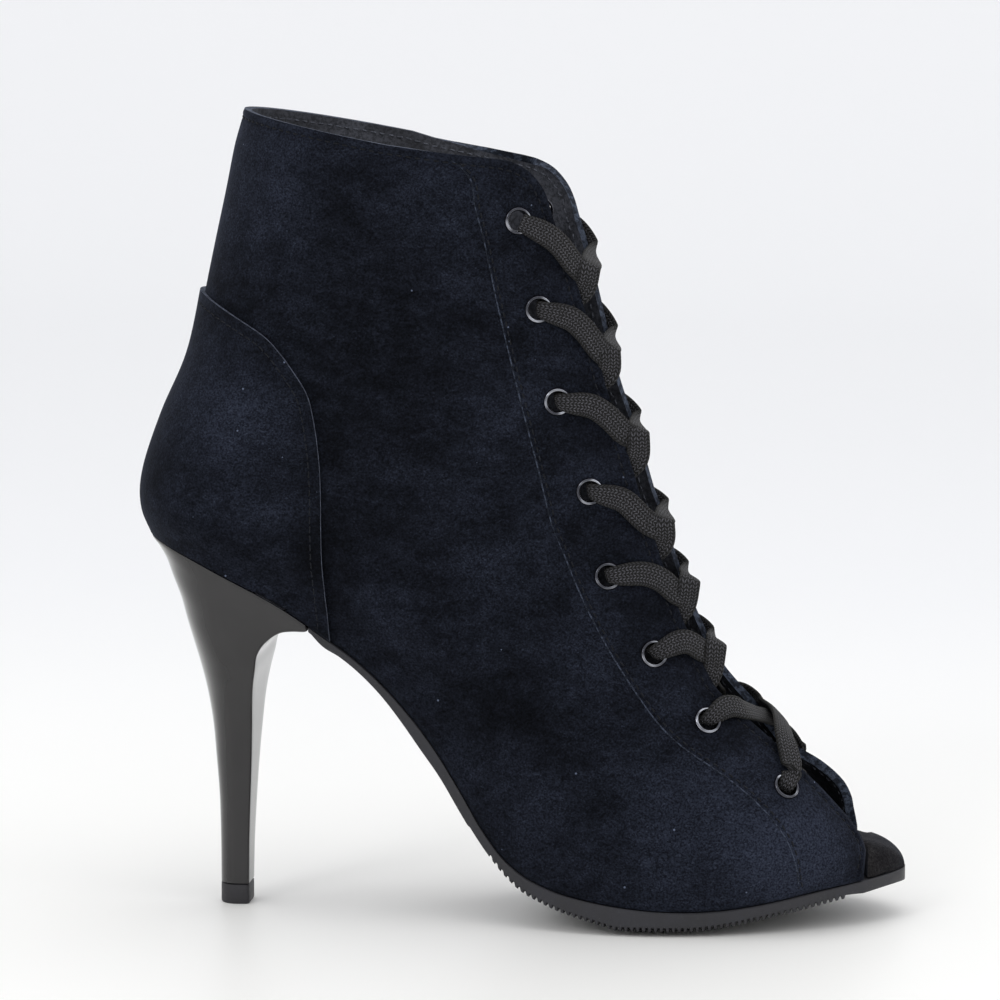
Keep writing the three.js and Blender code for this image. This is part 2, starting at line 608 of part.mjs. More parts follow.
// Skins a list of closed rings of equal length and caps both ends with strips from side to side
function skinRings(rings) {
  const shell = new Shell();
  const ids = rings.map((ring) => ring.map((p) => shell.point(p)));
  const count = rings[0].length;
  for (let i = 0; i + 1 < rings.length; i += 1) {
    for (let j = 0; j < count; j += 1) {
      const k = (j + 1) % count;
      shell.quad(ids[i][j], ids[i][k], ids[i + 1][k], ids[i + 1][j]);
    }
  }
  const cap = (ring, flip) => {
    for (let j = 0; j + 1 < count / 2; j += 1) {
      const quad = [ring[j], ring[j + 1], ring[count - 2 - j], ring[count - 1 - j]];
      if (flip) quad.reverse();
      shell.quad(...quad);
    }
  };
  cap(ids[0], true);
  cap(ids[rings.length - 1], false);
  return shell.geometry();
}

// Half of a heel section, from its round back to the corner of its flat breast
const heelTurns = steps(4, 90, 8).map((angle) => angle * degree);

function heelSectionPoints(row) {
  const half = [];
  const depth = row.frontX - row.backX;
  const round = Math.min(row.half, depth * 0.55);
  const put = (x, y) => {
    const t = (x - row.backX) / depth;
    const chord = lerp(row.backZ, row.frontZ, t);
    const chordOnBed = lerp(bed(row.backX), bed(row.frontX), t);
    half.push(new THREE.Vector3(x, y, chord + row.bow * (bed(x) - chordOnBed)));
  };
  for (const turn of heelTurns) put(row.backX + round * (1 - Math.cos(turn)), row.half * Math.sin(turn));
  const start = row.backX + round;
  for (const t of [0.3, 0.6, 0.85]) put(lerp(start, row.frontX, t), row.half * (1 - 0.03 * t * t));
  put(row.frontX - 0.4, row.half * 0.95);
  put(row.frontX, row.half * 0.88);
  return half;
}

function heelRing(row) {
  const half = heelSectionPoints(row);
  const mirrored = half.map((p) => new THREE.Vector3(p.x, -p.y, p.z)).reverse();
  return half.concat(mirrored);
}

function heelSizes() {
  const rows = heelRows.map((row) => ({
    backX: row.back * footLength,
    frontX: row.front * footLength,
    backZ: row.backUp * heelHeight,
    frontZ: row.frontUp * heelHeight,
    half: row.wide * seatWidth,
    bow: row.bow,
  }));
  rows[0].backZ = bed(rows[0].backX);
  rows[0].frontZ = bed(rows[0].frontX);
  rows.push(heelTip(topPieceHeight + clearance));
  return rows;
}

function heelTip(z) {
  return {
    backX: heelTipSetback,
    frontX: heelTipSetback + heelTipLength,
    backZ: z,
    frontZ: z,
    half: heelTipWidth / 2,
    bow: 0,
  };
}

function makeHeel() {
  return skinRings(heelSizes().map(heelRing));
}

function makeTopPiece() {
  return skinRings([heelTip(topPieceHeight), heelTip(0)].map(heelRing));
}

const underPlaces = underRows.map((row) => row.along * footLength);
const underCurve = smoothColumn(underPlaces, underRows.map(
  (row) => row.rise * heelHeight + row.spring * toeSpring));
const liftCurve = smoothColumn(underPlaces, underRows.map((row) => row.lift * soleEdgeLift));
const soleStart = 0.235 * footLength;
const stepPlace = 0.445 * footLength;
const flatStart = underRows[15].along * footLength;
const flatEnd = underRows[16].along * footLength;

// The waist stands a little proud of the forefoot's tread, and the standing area is level
function under(x) {
  if (x >= flatStart && x <= flatEnd) return 0;
  const beforeStep = x < stepPlace && x > stepPlace - 0.1 * footLength;
  const share = beforeStep ? 1 - (stepPlace - x) / (0.1 * footLength) : 0;
  return Math.max(underCurve(x), 0) - waistStep * share;
}

const soleStations = steps(soleStart, stepPlace, 12)
  .concat([stepPlace + 0.3])
  .concat(steps(stepPlace, flatStart, 9).slice(1))
  .concat([lerp(flatStart, flatEnd, 0.5), flatEnd])
  .concat(steps(flatEnd, 0.93 * footLength, 7).slice(1))
  .concat([0.95, 0.965, 0.978, 0.988, 0.995, 0.9995].map((share) => share * footLength));

// Across the sole: share of the half width, and share of the edge lift
const soleAcross = [
  { out: 1.00, lift: 1.0 },
  { out: 0.82, lift: 0.45 },
  { out: 0.58, lift: 0 },
];

function makeOutsole() {
  const rings = soleStations.map((x) => {
    const ring = [];
    const left = outline(x, 1) + soleMargin;
    const right = outline(x, -1) - soleMargin;
    const centre = (left + right) / 2;
    const half = (left - right) / 2;
    const low = (row, sign) => new THREE.Vector3(
      x, centre + sign * half * row.out, under(x) + liftCurve(x) * row.lift);
    ring.push(new THREE.Vector3(x, right, bed(x)));
    for (const row of soleAcross) ring.push(low(row, -1));
    for (const row of soleAcross.slice().reverse()) ring.push(low(row, 1));
    ring.push(new THREE.Vector3(x, left, bed(x)));
    return ring;
  });
  return skinRings(rings);
}

// The insole fills the upper from wall to wall, and in front of the flaps it reaches the edge of the sole
const flapEnd = 0.951 * footLength;
const padStart = 0.80 * footLength;

function insoleHalf(x, side) {
  const leanIn = (insoleTop(x) - insoleThickness) * 0.85;
  const inside = upperWall + clearance * 2 + leanIn;
  const edge = side * outline(x, side);
  return side * Math.max(edge - (x < flapEnd ? inside : clearance), 0.4);
}

function insoleTop(x) {
  const toe = Math.min(Math.max((x - padStart) / (flapEnd - padStart), 0), 1);
  return lerp(insoleThickness, toePadThickness, toe * toe * (3 - 2 * toe));
}

const insoleStart = heelBack + upperWall + clearance * 2;
const insoleStations = [0, 0.004, 0.014, 0.03, 0.05, 0.08, 0.12, 0.16]
  .map((share) => insoleStart + 0.4 + share * footLength)
  .concat(soleStations.filter((x) => x < flapEnd - 1))
  .concat([flapEnd - 0.2, flapEnd + 0.6])
  .concat([0.965, 0.978, 0.988, 0.995].map((share) => share * footLength));

function makeInsole() {
  const tip = 0.999 * footLength;
  const rings = insoleStations.map((x) => {
    const squeeze = x < 0.1 * footLength ? roundEnd(x - insoleStart, seatRadius - upperWall) : 1;
    const wide = x < 0.1 * footLength ? seatRadius - upperWall - clearance * 2 : 0;
    const left = wide ? wide * squeeze : insoleHalf(x, 1);
    const right = wide ? -wide * squeeze : insoleHalf(x, -1);
    const low = bed(x) + clearance;
    const high = low + insoleTop(x) * Math.max(roundEnd(tip - x, toePadThickness), 0.25);
    const soft = (high - low) * 0.35;
    const side = (y, sign) => [
      new THREE.Vector3(x, y, low),
      new THREE.Vector3(x, y, high - soft),
      new THREE.Vector3(x, y - sign * Math.min(3, Math.abs(y) * 0.3), high),
    ];
    return side(left, 1).concat(side(right, -1).reverse());
  });
  return skinRings(rings);
}

// A rolled eyelet: a flange with a round edge and a barrel through the wall
function makeEyelet(place) {
  const bore = eyeletHole / 2;
  const rim = eyeletFlange / 2;
  const profile = [
    [bore, -upperWall - clearance],
    [barrelRadius, -upperWall - clearance],
    [barrelRadius, clearance],
    [rim, clearance],
    [rim - 0.5, clearance + eyeletRise],
    [bore, clearance + eyeletRise * 0.8],
  ].map(([x, y]) => new THREE.Vector2(x, y));
  profile.push(profile[0].clone());
  return seatOnSurface(new THREE.LatheGeometry(profile, 10), place, 0);
}

// A flat lace swept along points, each with the direction that its face looks to
function laceStrip(stops) {
  const centres = new THREE.CatmullRomCurve3(stops.map((stop) => stop.point), false, 'centripetal');
  const faces = new THREE.CatmullRomCurve3(stops.map((stop) => stop.face), false, 'centripetal');
  const count = (stops.length - 1) * 2;
  const rings = steps(0, 1, count).map((t) => {
    const centre = centres.getPoint(t);
    const tangent = centres.getTangent(t);
    const across = new THREE.Vector3().crossVectors(faces.getPoint(t), tangent).normalize();
    const face = new THREE.Vector3().crossVectors(tangent, across).normalize();
    const corner = (a, b) => centre.clone()
      .addScaledVector(across, a * laceWidth / 2)
      .addScaledVector(face, b * laceThickness / 2);
    return [corner(-1, 1), corner(-1, -1), corner(1, -1), corner(1, 1)];
  });
  return skinRings(rings);
}

const laceLift = clearance + eyeletRise + laceThickness / 2;
const laceUnder = upperWall + clearance * 2 + laceThickness / 2;
const lacePast = 1.8;              // a strand turns down this far past the edge of its flap

// A place on the flap, or past its edge over the throat, with the direction that the lace's face looks to
function flapStop(side, s, v, lift, past = 0) {
  const face = surfaceNormal(side, s, v);
  const forward = surfacePoint(side, s, v).sub(surfacePoint(side, s, v - 0.03)).normalize();
  const point = surfacePoint(side, s, v).addScaledVector(face, lift).addScaledVector(forward, past);
  return { point, face };
}

// The way of one strand from an eyelet over its own flap, across the gap, and under or over the other flap
function strandStops(from, to, centreLift, leave, overBoth) {
  const down = (t) => lerp(from.s, to.s, t);
  const onFlap = eyeletSetback * 0.33;
  const farLift = overBoth ? laceLift : -laceUnder;
  const start = flapStop(from.side, down(0.06), columnBehind(from.side, from.s, onFlap), laceLift);
  const edge = flapStop(from.side, down(overBoth ? 0.25 : leave), 1, laceLift + 0.75, lacePast);
  const farEdge = flapStop(to.side, down(overBoth ? 0.62 : 0.78), 1, farLift, overBoth ? lacePast : lacePast / 2);
  const end = flapStop(to.side, down(0.95), columnBehind(to.side, to.s, onFlap), farLift);
  const up = edge.face.clone().add(farEdge.face).normalize();
  const centre = {
    point: edge.point.clone().lerp(farEdge.point, 0.46).addScaledVector(up, centreLift),
    face: up,
  };
  const dive = {
    point: edge.point.clone().lerp(farEdge.point, 0.8).addScaledVector(up, overBoth ? centreLift * 0.5 : 0),
    face: up.clone().lerp(farEdge.face, 0.5).normalize(),
  };
  return [start, edge, centre, dive, farEdge, end];
}

function makeCrossing(index) {
  const [outer, inner] = eyeletPlaces;
  const overBoth = index === eyeletCount - 2;
  const lap = laceThickness * 0.45;
  const near = laceStrip(strandStops(outer[index], inner[index + 1], 1.5 - lap, 0.44, overBoth));
  const far = laceStrip(strandStops(inner[index], outer[index + 1], 1.5 + lap, 0.53, overBoth));
  return solidGeometry(solid(near).add(solid(far)));
}

const boot = new THREE.Group();

function addPiece(name, geometry, look) {
  const mesh = new THREE.Mesh(geometry, look);
  mesh.name = name;
  boot.add(mesh);
}

addPiece('upper', makeUpper(), suede);
addPiece('heel_counter', makeCounter(), suede);
addPiece('outsole', makeOutsole(), soleRubber);
addPiece('insole', makeInsole(), insoleSuede);
addPiece('heel', makeHeel(), heelLacquer);
addPiece('heel_top_piece', makeTopPiece(), soleRubber);
eyeletPlaces.forEach((places, sideIndex) => {
  const sideName = sideIndex === 0 ? 'outer' : 'inner';
  places.forEach((place, i) => addPiece(`eyelet_${sideName}_${i + 1}`, makeEyelet(place), gunmetal));
});
for (let i = 0; i + 1 < eyeletCount; i += 1) addPiece(`lace_crossing_${i + 1}`, makeCrossing(i), laceBraid);

// The origin is under the middle of the boot, on the floor
const bounds = new THREE.Box3().setFromObject(boot);
boot.position.set(-(bounds.min.x + bounds.max.x) / 2, -(bounds.min.y + bounds.max.y) / 2, -bounds.min.z);

export default boot;
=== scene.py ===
import math
import random

import bpy
import numpy as np
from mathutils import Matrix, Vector
from mathutils.bvhtree import BVHTree
from mathutils.kdtree import KDTree


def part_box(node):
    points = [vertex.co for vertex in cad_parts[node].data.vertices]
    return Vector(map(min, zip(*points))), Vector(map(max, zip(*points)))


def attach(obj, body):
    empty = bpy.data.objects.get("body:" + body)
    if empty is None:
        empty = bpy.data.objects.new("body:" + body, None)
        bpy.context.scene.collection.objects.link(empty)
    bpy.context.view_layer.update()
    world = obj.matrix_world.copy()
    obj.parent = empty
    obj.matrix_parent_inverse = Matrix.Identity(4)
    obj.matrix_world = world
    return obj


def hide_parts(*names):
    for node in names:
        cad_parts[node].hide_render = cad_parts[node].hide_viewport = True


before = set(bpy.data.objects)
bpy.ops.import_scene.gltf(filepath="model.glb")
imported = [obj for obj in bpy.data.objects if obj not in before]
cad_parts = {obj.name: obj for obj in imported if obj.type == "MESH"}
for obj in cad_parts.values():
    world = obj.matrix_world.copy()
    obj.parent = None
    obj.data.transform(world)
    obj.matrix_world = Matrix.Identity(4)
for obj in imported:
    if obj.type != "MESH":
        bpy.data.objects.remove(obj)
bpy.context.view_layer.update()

# Sizes of the boot
FOOT_LENGTH = 211.2
HEEL_HEIGHT = 103.8
BOOT_HEIGHT = 220.3
BALL_WIDTH = 76.0
SEAT_WIDTH = 48.0
ANKLE_WIDTH = 58.0
COLLAR_WIDTH = 61.0
THROAT_GAP = 39.0
TOE_SPRING = 6.6
SOLE_THICKNESS = 6.7
SOLE_EDGE_LIFT = 1.5
SOLE_MARGIN = 0.6
WAIST_STEP = 0.5
INNER_DROP = 2.6
UPPER_WALL = 2.0
COUNTER_THICKNESS = 1.2
COUNTER_LENGTH = 55.0
COUNTER_RISE = 66.0
INSOLE_THICKNESS = 2.6
TOE_PAD_THICKNESS = 9.6
TOP_PIECE_HEIGHT = 5.5
HEEL_TIP_LENGTH = 8.4
HEEL_TIP_WIDTH = 11.0
HEEL_TIP_SETBACK = 21.8
EYELET_PITCH = 23.4
EYELET_FIRST = 0.8
EYELET_SETBACK = 12.0
EYELET_HOLE = 5.4
EYELET_FLANGE = 7.5
EYELET_RISE = 0.7
LACE_WIDTH = 6.6
LACE_THICKNESS = 1.6
CLEARANCE = 0.3

BED_HEIGHT = SOLE_THICKNESS + CLEARANCE
SEAT_RADIUS = SEAT_WIDTH / 2
BARREL_WALL = 0.5
BARREL_RADIUS = EYELET_HOLE / 2 + BARREL_WALL

tip_low, tip_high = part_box("heel_top_piece")
SHIFT = np.array([tip_low[0] * 1000 - HEEL_TIP_SETBACK, (tip_low[1] + tip_high[1]) * 500, 0])


def to_frame(points):
    """Millimetres of the last maker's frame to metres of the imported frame."""
    return (np.asarray(points, float) + SHIFT) / 1000


# Camera and light

CAMERA_YAW = math.radians(6.0)
CAMERA_RISE = math.radians(7.5)
CAMERA_DISTANCE = 1500.0
CAMERA_AIM = np.array([99.56, 0.0, 113.19])
FOCAL_PIXELS = 5475
PICTURE_PIXELS = 1000
SENSOR = 36.0


def add_camera():
    data = bpy.data.cameras.new("camera")
    data.sensor_width = SENSOR
    data.lens = SENSOR * FOCAL_PIXELS / PICTURE_PIXELS
    data.clip_start = 0.05
    data.clip_end = 60
    camera = bpy.data.objects.new("camera", data)
    bpy.context.scene.collection.objects.link(camera)
    back = Vector((math.sin(CAMERA_YAW) * math.cos(CAMERA_RISE),
                   -math.cos(CAMERA_YAW) * math.cos(CAMERA_RISE),
                   math.sin(CAMERA_RISE)))
    camera.location = Vector(to_frame(CAMERA_AIM)) + back * CAMERA_DISTANCE / 1000
    camera.rotation_euler = back.to_track_quat("Z", "Y").to_euler()
    bpy.context.scene.camera = camera


def add_softbox(name, place, aim, size, power):
    data = bpy.data.lights.new(name, "AREA")
    data.shape = "RECTANGLE"
    data.size, data.size_y = size
    data.energy = power
    light = bpy.data.objects.new(name, data)
    bpy.context.scene.collection.objects.link(light)
    light.location = place
    light.rotation_euler = (Vector(place) - Vector(aim)).to_track_quat("Z", "Y").to_euler()


# Each softbox: its place and its size in metres, and its power in watts
SOFTBOXES = {
    "softbox_top": ((0.1, 0.1, 1.9), (1.6, 1.6), 7),
    "softbox_front_left": ((-1.0, -1.7, 1.3), (0.6, 0.6), 6),
    "softbox_toe": ((1.7, -0.6, 1.1), (1.0, 1.2), 4)}
BOOT_MIDDLE = (0, 0, 0.1)
TENT_COLOUR = (0.97, 0.98, 1.0, 1)
TENT_STRENGTH = 0.9


def add_light():
    """A white tent all round the boot, with softboxes above it, at its front left and past its toe."""
    for name, (place, size, power) in SOFTBOXES.items():
        add_softbox(name, place, BOOT_MIDDLE, size, power)
    world = bpy.data.worlds.new("white_tent")
    world.use_nodes = True
    background = world.node_tree.nodes["Background"]
    background.inputs["Color"].default_value = TENT_COLOUR
    background.inputs["Strength"].default_value = TENT_STRENGTH
    bpy.context.scene.world = world
    bpy.context.scene.view_settings.view_transform = "Standard"


# Materials

def colour(hex_value):
    """An sRGB hex colour as linear red, green, blue and alpha."""
    shares = [(hex_value >> bits & 255) / 255 for bits in (16, 8, 0)]
    return [c / 12.92 if c <= 0.04045 else ((c + 0.055) / 1.055) ** 2.4 for c in shares] + [1.0]


def add_node(tree, kind, settings=(), links=()):
    """Adds one node. A setting's name is set on the node itself, any other key is a socket. Links map
    sockets to the outputs that feed them."""
    node = tree.nodes.new("ShaderNode" + kind)
    for key, value in dict(settings).items():
        if isinstance(key, str) and hasattr(node, key):
            setattr(node, key, value)
        else:
            node.inputs[key].default_value = value
    for key, source in dict(links).items():
        tree.links.new(source, node.inputs[key])
    return node


def new_material(name, **sockets):
    """A material with one Principled shader, its sockets given by name with underscores for spaces."""
    material = bpy.data.materials.new(name)
    material.use_nodes = True
    shader = material.node_tree.nodes["Principled BSDF"]
    for key, value in sockets.items():
        shader.inputs[key.replace("_", " ")].default_value = value
    return material, material.node_tree, shader


MM = 1000.0                     # object coordinates are metres, so a pattern of 1 mm has this scale


def object_place(tree):
    return add_node(tree, "TexCoord").outputs["Object"]


def noise(tree, place, size, detail=2.0, rough=0.5):
    """Noise whose features are about size millimetres wide."""
    return add_node(tree, "TexNoise", {"Scale": MM / size, "Detail": detail, "Roughness": rough},
                    {"Vector": place}).outputs["Fac"]


def ramp(tree, factor, low, high, dark, light):
    """Factor from low to high goes from one value or colour to another."""
    node = add_node(tree, "MapRange", {"interpolation_type": "SMOOTHSTEP", "From Min": low, "From Max": high},
                    {"Value": factor})
    if not isinstance(dark, list):
        node.inputs["To Min"].default_value = dark
        node.inputs["To Max"].default_value = light
        return node.outputs["Result"]
    return mix(tree, node.outputs["Result"], dark, light)


def mix(tree, factor, first, second, blend="MIX"):
    """Mixes two colours; each is a list or an output."""
    settings = {"data_type": "RGBA", "blend_type": blend}
    links = {}
    for key, value in ((0, factor), (6, first), (7, second)):
        (settings if isinstance(value, (list, float)) else links)[key] = value
    return add_node(tree, "Mix", settings, links).outputs[2]


def maths(tree, operation, *values):
    settings = {"operation": operation}
    links = {}
    for i, value in enumerate(values):
        (settings if isinstance(value, (int, float)) else links)[i] = value
    return add_node(tree, "Math", settings, links).outputs[0]


def bump(tree, shader, height, depth, strength):
    """Bump of depth millimetres between heights 0 and 1."""
    node = add_node(tree, "Bump", {"Distance": depth / MM, "Strength": strength}, {"Height": height})
    tree.links.new(node.outputs["Normal"], shader.inputs["Normal"])


LINT_SPACING = 6.5
LINT_SIZE = LINT_SPACING * 0.045


def brushed_suede(name, dark, light, glint, lint):
    """Calf suede, buffed with emery: short soft fibres lie in patches, so it's matt, and lighter where the nap
    stands towards the light or at a turning edge. The lit fibres are painted highlights, and the nap patches
    hold painted light. The fibres are drawn 0.4 mm wide, coarser than real ones."""
    material, tree, shader = new_material(
        name, Roughness=0.95, IOR=1.45, Specular_IOR_Level=0.08,
        Sheen_Weight=0.12, Sheen_Roughness=0.4, Sheen_Tint=colour(0x96A0BA))
    place = object_place(tree)
    combed = add_node(tree, "Mapping", {"Rotation": (0, 0.75, 0), "Scale": (0.6, 1, 1)},
                      {"Vector": place}).outputs["Vector"]
    patches = noise(tree, place, 22, 3.0, 0.55)
    strokes = noise(tree, combed, 5.0, 3.0, 0.65)
    clumps = noise(tree, combed, 1.1, 2.0, 0.6)
    fibres = noise(tree, combed, 0.42, 2.0, 0.65)
    grain = noise(tree, place, 0.55, 2.0, 0.6)
    # nap: the nap's own lighter and darker patches, with painted light on the top of the toe and on the counter
    nap = add_node(tree, "Attribute", {"attribute_name": "nap"}).outputs["Fac"]
    shade = maths(tree, "ADD", ramp(tree, patches, 0.32, 0.7, 0.0, 0.26), nap)
    shade = maths(tree, "ADD", shade, ramp(tree, strokes, 0.34, 0.68, -0.08, 0.13))
    shade = maths(tree, "ADD", shade, ramp(tree, clumps, 0.35, 0.68, -0.06, 0.08))
    base = ramp(tree, shade, -0.3, 1.05, dark, light)
    base = mix(tree, 1.0, base, ramp(tree, grain, 0.3, 0.7, colour(0x8A8A8E), colour(0xFFFFFF)), "MULTIPLY")
    # painted highlights: fibres that catch the light are mixed towards the glint colour
    lit_fibres = ramp(tree, fibres, 0.53, 0.76, 0.0, 0.5)
    bright = maths(tree, "MULTIPLY", lit_fibres, ramp(tree, shade, -0.1, 0.9, 0.15, 1.0))
    base = mix(tree, bright, base, glint)
    if lint:
        speck = add_node(tree, "TexVoronoi", {"Scale": MM / LINT_SPACING, "Randomness": 1.0}, {"Vector": place})
        near = maths(tree, "LESS_THAN", speck.outputs["Distance"], LINT_SIZE / LINT_SPACING)
        chance = add_node(tree, "SeparateColor", {}, {"Color": speck.outputs["Color"]}).outputs[0]
        chosen = maths(tree, "GREATER_THAN", chance, 0.45)
        base = mix(tree, maths(tree, "MULTIPLY", near, chosen), base, colour(0x596174))
    tree.links.new(base, shader.inputs["Base Color"])
    heights = maths(tree, "ADD", maths(tree, "MULTIPLY", fibres, 0.5), maths(tree, "MULTIPLY", clumps, 0.7))
    bump(tree, shader, heights, 0.25, 0.7)
    return material


def cut_suede_edge(name, dark, light):
    """Suede cut with a knife: the paler core of the hide shows as a thin fuzzy line, broken by tufts of nap."""
    material, tree, shader = new_material(name, Roughness=0.9, Specular_IOR_Level=0.1,
                                          Sheen_Weight=0.2, Sheen_Tint=colour(0xB4BCD0))
    place = object_place(tree)
    fibres = noise(tree, place, 0.6, 3.0, 0.7)
    tufts = noise(tree, place, 1.7, 2.0, 0.6)
    tone = maths(tree, "MULTIPLY", ramp(tree, fibres, 0.3, 0.65, 0.3, 1.0),
                 ramp(tree, tufts, 0.4, 0.6, 0.25, 1.0))
    tree.links.new(ramp(tree, tone, 0.0, 1.0, colour(dark), colour(light)), shader.inputs["Base Color"])
    bump(tree, shader, fibres, 0.2, 0.7)
    return material


def dyed_lining():
    """Pigskin lining, drum dyed and lightly buffed: black-grey and dull, with pores and darker spots of nap."""
    material, tree, shader = new_material("dyed_lining_leather", Roughness=0.62, IOR=1.5,
                                          Specular_IOR_Level=0.3)
    place = object_place(tree)
    cells = add_node(tree, "TexVoronoi", {"Scale": MM / 1.1, "feature": "DISTANCE_TO_EDGE"}, {"Vector": place})
    cloud = noise(tree, place, 9, 3.0, 0.6)
    dyed = ramp(tree, cloud, 0.3, 0.7, colour(0x2E2F35), colour(0x4C4E56))
    nap = ramp(tree, noise(tree, place, 0.9, 3.0, 0.7), 0.42, 0.6, 0.0, 0.65)
    tree.links.new(mix(tree, nap, dyed, colour(0x16171B)), shader.inputs["Base Color"])
    bump(tree, shader, cells.outputs["Distance"], 0.12, 0.5)
    return material


def lacquered_heel():
    """Moulded ABS heel, sprayed with satin lacquer: an even charcoal that mirrors the studio at a low angle."""
    material, tree, shader = new_material("lacquered_abs_heel", Roughness=0.17, IOR=1.5)
    place = object_place(tree)
    cloud = noise(tree, place, 14, 2.0, 0.5)
    orange_peel = noise(tree, place, 1.6, 1.0, 0.4)
    tree.links.new(ramp(tree, cloud, 0.3, 0.7, colour(0x222122), colour(0x262526)), shader.inputs["Base Color"])
    tree.links.new(ramp(tree, noise(tree, place, 5, 2.0), 0.3, 0.7, 0.07, 0.11), shader.inputs["Roughness"])
    bump(tree, shader, orange_peel, 0.02, 0.25)
    return material


def moulded_rubber(name, low, high):
    """Moulded nitrile rubber: dark grey and matt, with a faint bloom and fine dust in the skin."""
    material, tree, shader = new_material(name, Roughness=0.6, IOR=1.52, Specular_IOR_Level=0.4)
    place = object_place(tree)
    cloud = noise(tree, place, 6, 3.0, 0.6)
    dust = noise(tree, place, 0.5, 2.0, 0.6)
    base = ramp(tree, cloud, 0.3, 0.7, colour(low), colour(high))
    base = mix(tree, ramp(tree, dust, 0.62, 0.8, 0.0, 0.25), base, colour(0x6F6D6C))
    tree.links.new(base, shader.inputs["Base Color"])
    tree.links.new(ramp(tree, cloud, 0.3, 0.7, 0.5, 0.68), shader.inputs["Roughness"])
    bump(tree, shader, dust, 0.04, 0.35)
    return material


def gunmetal_plating():
    """Brass eyelets, rolled and barrel plated with black nickel: a dark mirror, with painted highlights as
    lighter arcs of its colour spread at random over the rims.
    """
    material, tree, shader = new_material("black_nickel_plating", Metallic=1.0, Roughness=0.24)
    place = object_place(tree)
    # painted highlights: random lighter arcs in the base colour stand for the softboxes' reflections
    blotches = noise(tree, place, 5, 1.0, 0.4)
    painted_highlight_arcs = ramp(tree, blotches, 0.42, 0.62, colour(0x46474D), colour(0xA2A4AC))
    tree.links.new(painted_highlight_arcs, shader.inputs["Base Color"])
    tree.links.new(ramp(tree, blotches, 0.3, 0.75, 0.11, 0.17), shader.inputs["Roughness"])
    return material


BRAID_COLUMNS = 8.0             # plaited columns across the lace
BRAID_STEP = 0.94               # length of one plait, drawn as coarse as it has to be to show


def flat_braid():
    """Spun polyester lace, flat plaited: slanted plaits meet in chevrons, dull dark grey. Painted shade darkens
    the gaps between plaits and the rims, and lighter flecks on the yarn are painted highlights."""
    material, tree, shader = new_material("flat_braided_polyester", Roughness=0.78, IOR=1.5,
                                          Specular_IOR_Level=0.3, Sheen_Weight=0.08,
                                          Sheen_Roughness=0.4, Sheen_Tint=colour(0xB4B0A6))
    uv = add_node(tree, "UVMap", {"uv_map": "braid"}).outputs["UV"]
    split = add_node(tree, "SeparateXYZ", {}, {"Vector": uv})
    across = maths(tree, "MULTIPLY", split.outputs["X"], BRAID_COLUMNS)
    inside = maths(tree, "FRACT", across)
    odd = maths(tree, "MODULO", maths(tree, "FLOOR", across), 2.0)
    slant = maths(tree, "SUBTRACT", maths(tree, "MULTIPLY", odd, 2.0), 1.0)
    tilt = maths(tree, "MULTIPLY", maths(tree, "SUBTRACT", inside, 0.5), slant)
    phase = maths(tree, "ADD", maths(tree, "DIVIDE", split.outputs["Y"], BRAID_STEP),
                  maths(tree, "MULTIPLY", tilt, 0.8))
    plait = maths(tree, "ABSOLUTE", maths(tree, "SINE", maths(tree, "MULTIPLY", phase, math.pi)))
    bow = maths(tree, "SINE", maths(tree, "MULTIPLY", inside, math.pi))
    height = maths(tree, "MULTIPLY", plait, maths(tree, "POWER", bow, 0.5))
    place = object_place(tree)
    blotches = noise(tree, place, 5, 2.0, 0.6)
    thread = noise(tree, place, 0.3, 2.0, 0.6)
    yarn = ramp(tree, blotches, 0.35, 0.7, colour(0x28282B), colour(0x333337))
    # painted highlights: lighter flecks on the yarn
    yarn = mix(tree, ramp(tree, thread, 0.35, 0.65, 0.0, 0.7), yarn, colour(0x626268))
    # painted shade: the lace darkens towards its rims
    shaded_rim = maths(tree, "ABSOLUTE", maths(tree, "SUBTRACT", split.outputs["X"], 0.5))
    lit = maths(tree, "MULTIPLY", ramp(tree, height, 0.36, 0.84, 0.0, 1.0),
                ramp(tree, shaded_rim, 0.3, 0.49, 1.0, 0.25))
    # painted shade: the gaps between the plaits are near black
    base = mix(tree, lit, colour(0x060606), yarn)
    tree.links.new(base, shader.inputs["Base Color"])
    bump(tree, shader, height, 0.4, 0.9)
    return material


def bonded_thread(name, dark, light):
    """Bonded nylon sewing thread, three ply, dyed to its leather: it shows as a fine row with a dull shine."""
    material, tree, shader = new_material(name, Roughness=0.7, IOR=1.5, Specular_IOR_Level=0.2)
    place = object_place(tree)
    ply = noise(tree, place, 0.5, 1.0, 0.5)
    tree.links.new(ramp(tree, ply, 0.3, 0.7, colour(dark), colour(light)), shader.inputs["Base Color"])
    return material


def painted_floor():
    """Studio table and backdrop of opal acrylic: pale, smooth enough for a very soft reflection. Its tone is
    graded with the distance behind the boot as painted light and shade: lighter near the boot, which softens
    the boot's shadow, a little darker between the boot and the backdrop, and lighter again up the backdrop."""
    material, tree, shader = new_material("opal_acrylic_table", Roughness=0.42, IOR=1.45,
                                          Specular_IOR_Level=0.35)
    place = object_place(tree)
    away = add_node(tree, "SeparateXYZ", {}, {"Vector": place}).outputs["Y"]
    # painted light and shade: the table is lighter near the boot, darker behind it, and lighter again towards
    # the backdrop
    near = ramp(tree, noise(tree, place, 300, 2.0, 0.5), 0.3, 0.7, colour(0xF9F8F5), colour(0xFBFAF7))
    middle = mix(tree, ramp(tree, away, 0.05, 0.7, 0.0, 1.0), near, colour(0xF0F0F1))
    base = mix(tree, ramp(tree, away, 0.9, 2.4, 0.0, 1.0), middle, colour(0xF9F9FA))
    tree.links.new(base, shader.inputs["Base Color"])
    return material


# Tables of the last

def table(columns, *rows):
    """A short table as one array for each named column."""
    return {name: np.array([row[i] for row in rows], float) for i, name in enumerate(columns.split())}


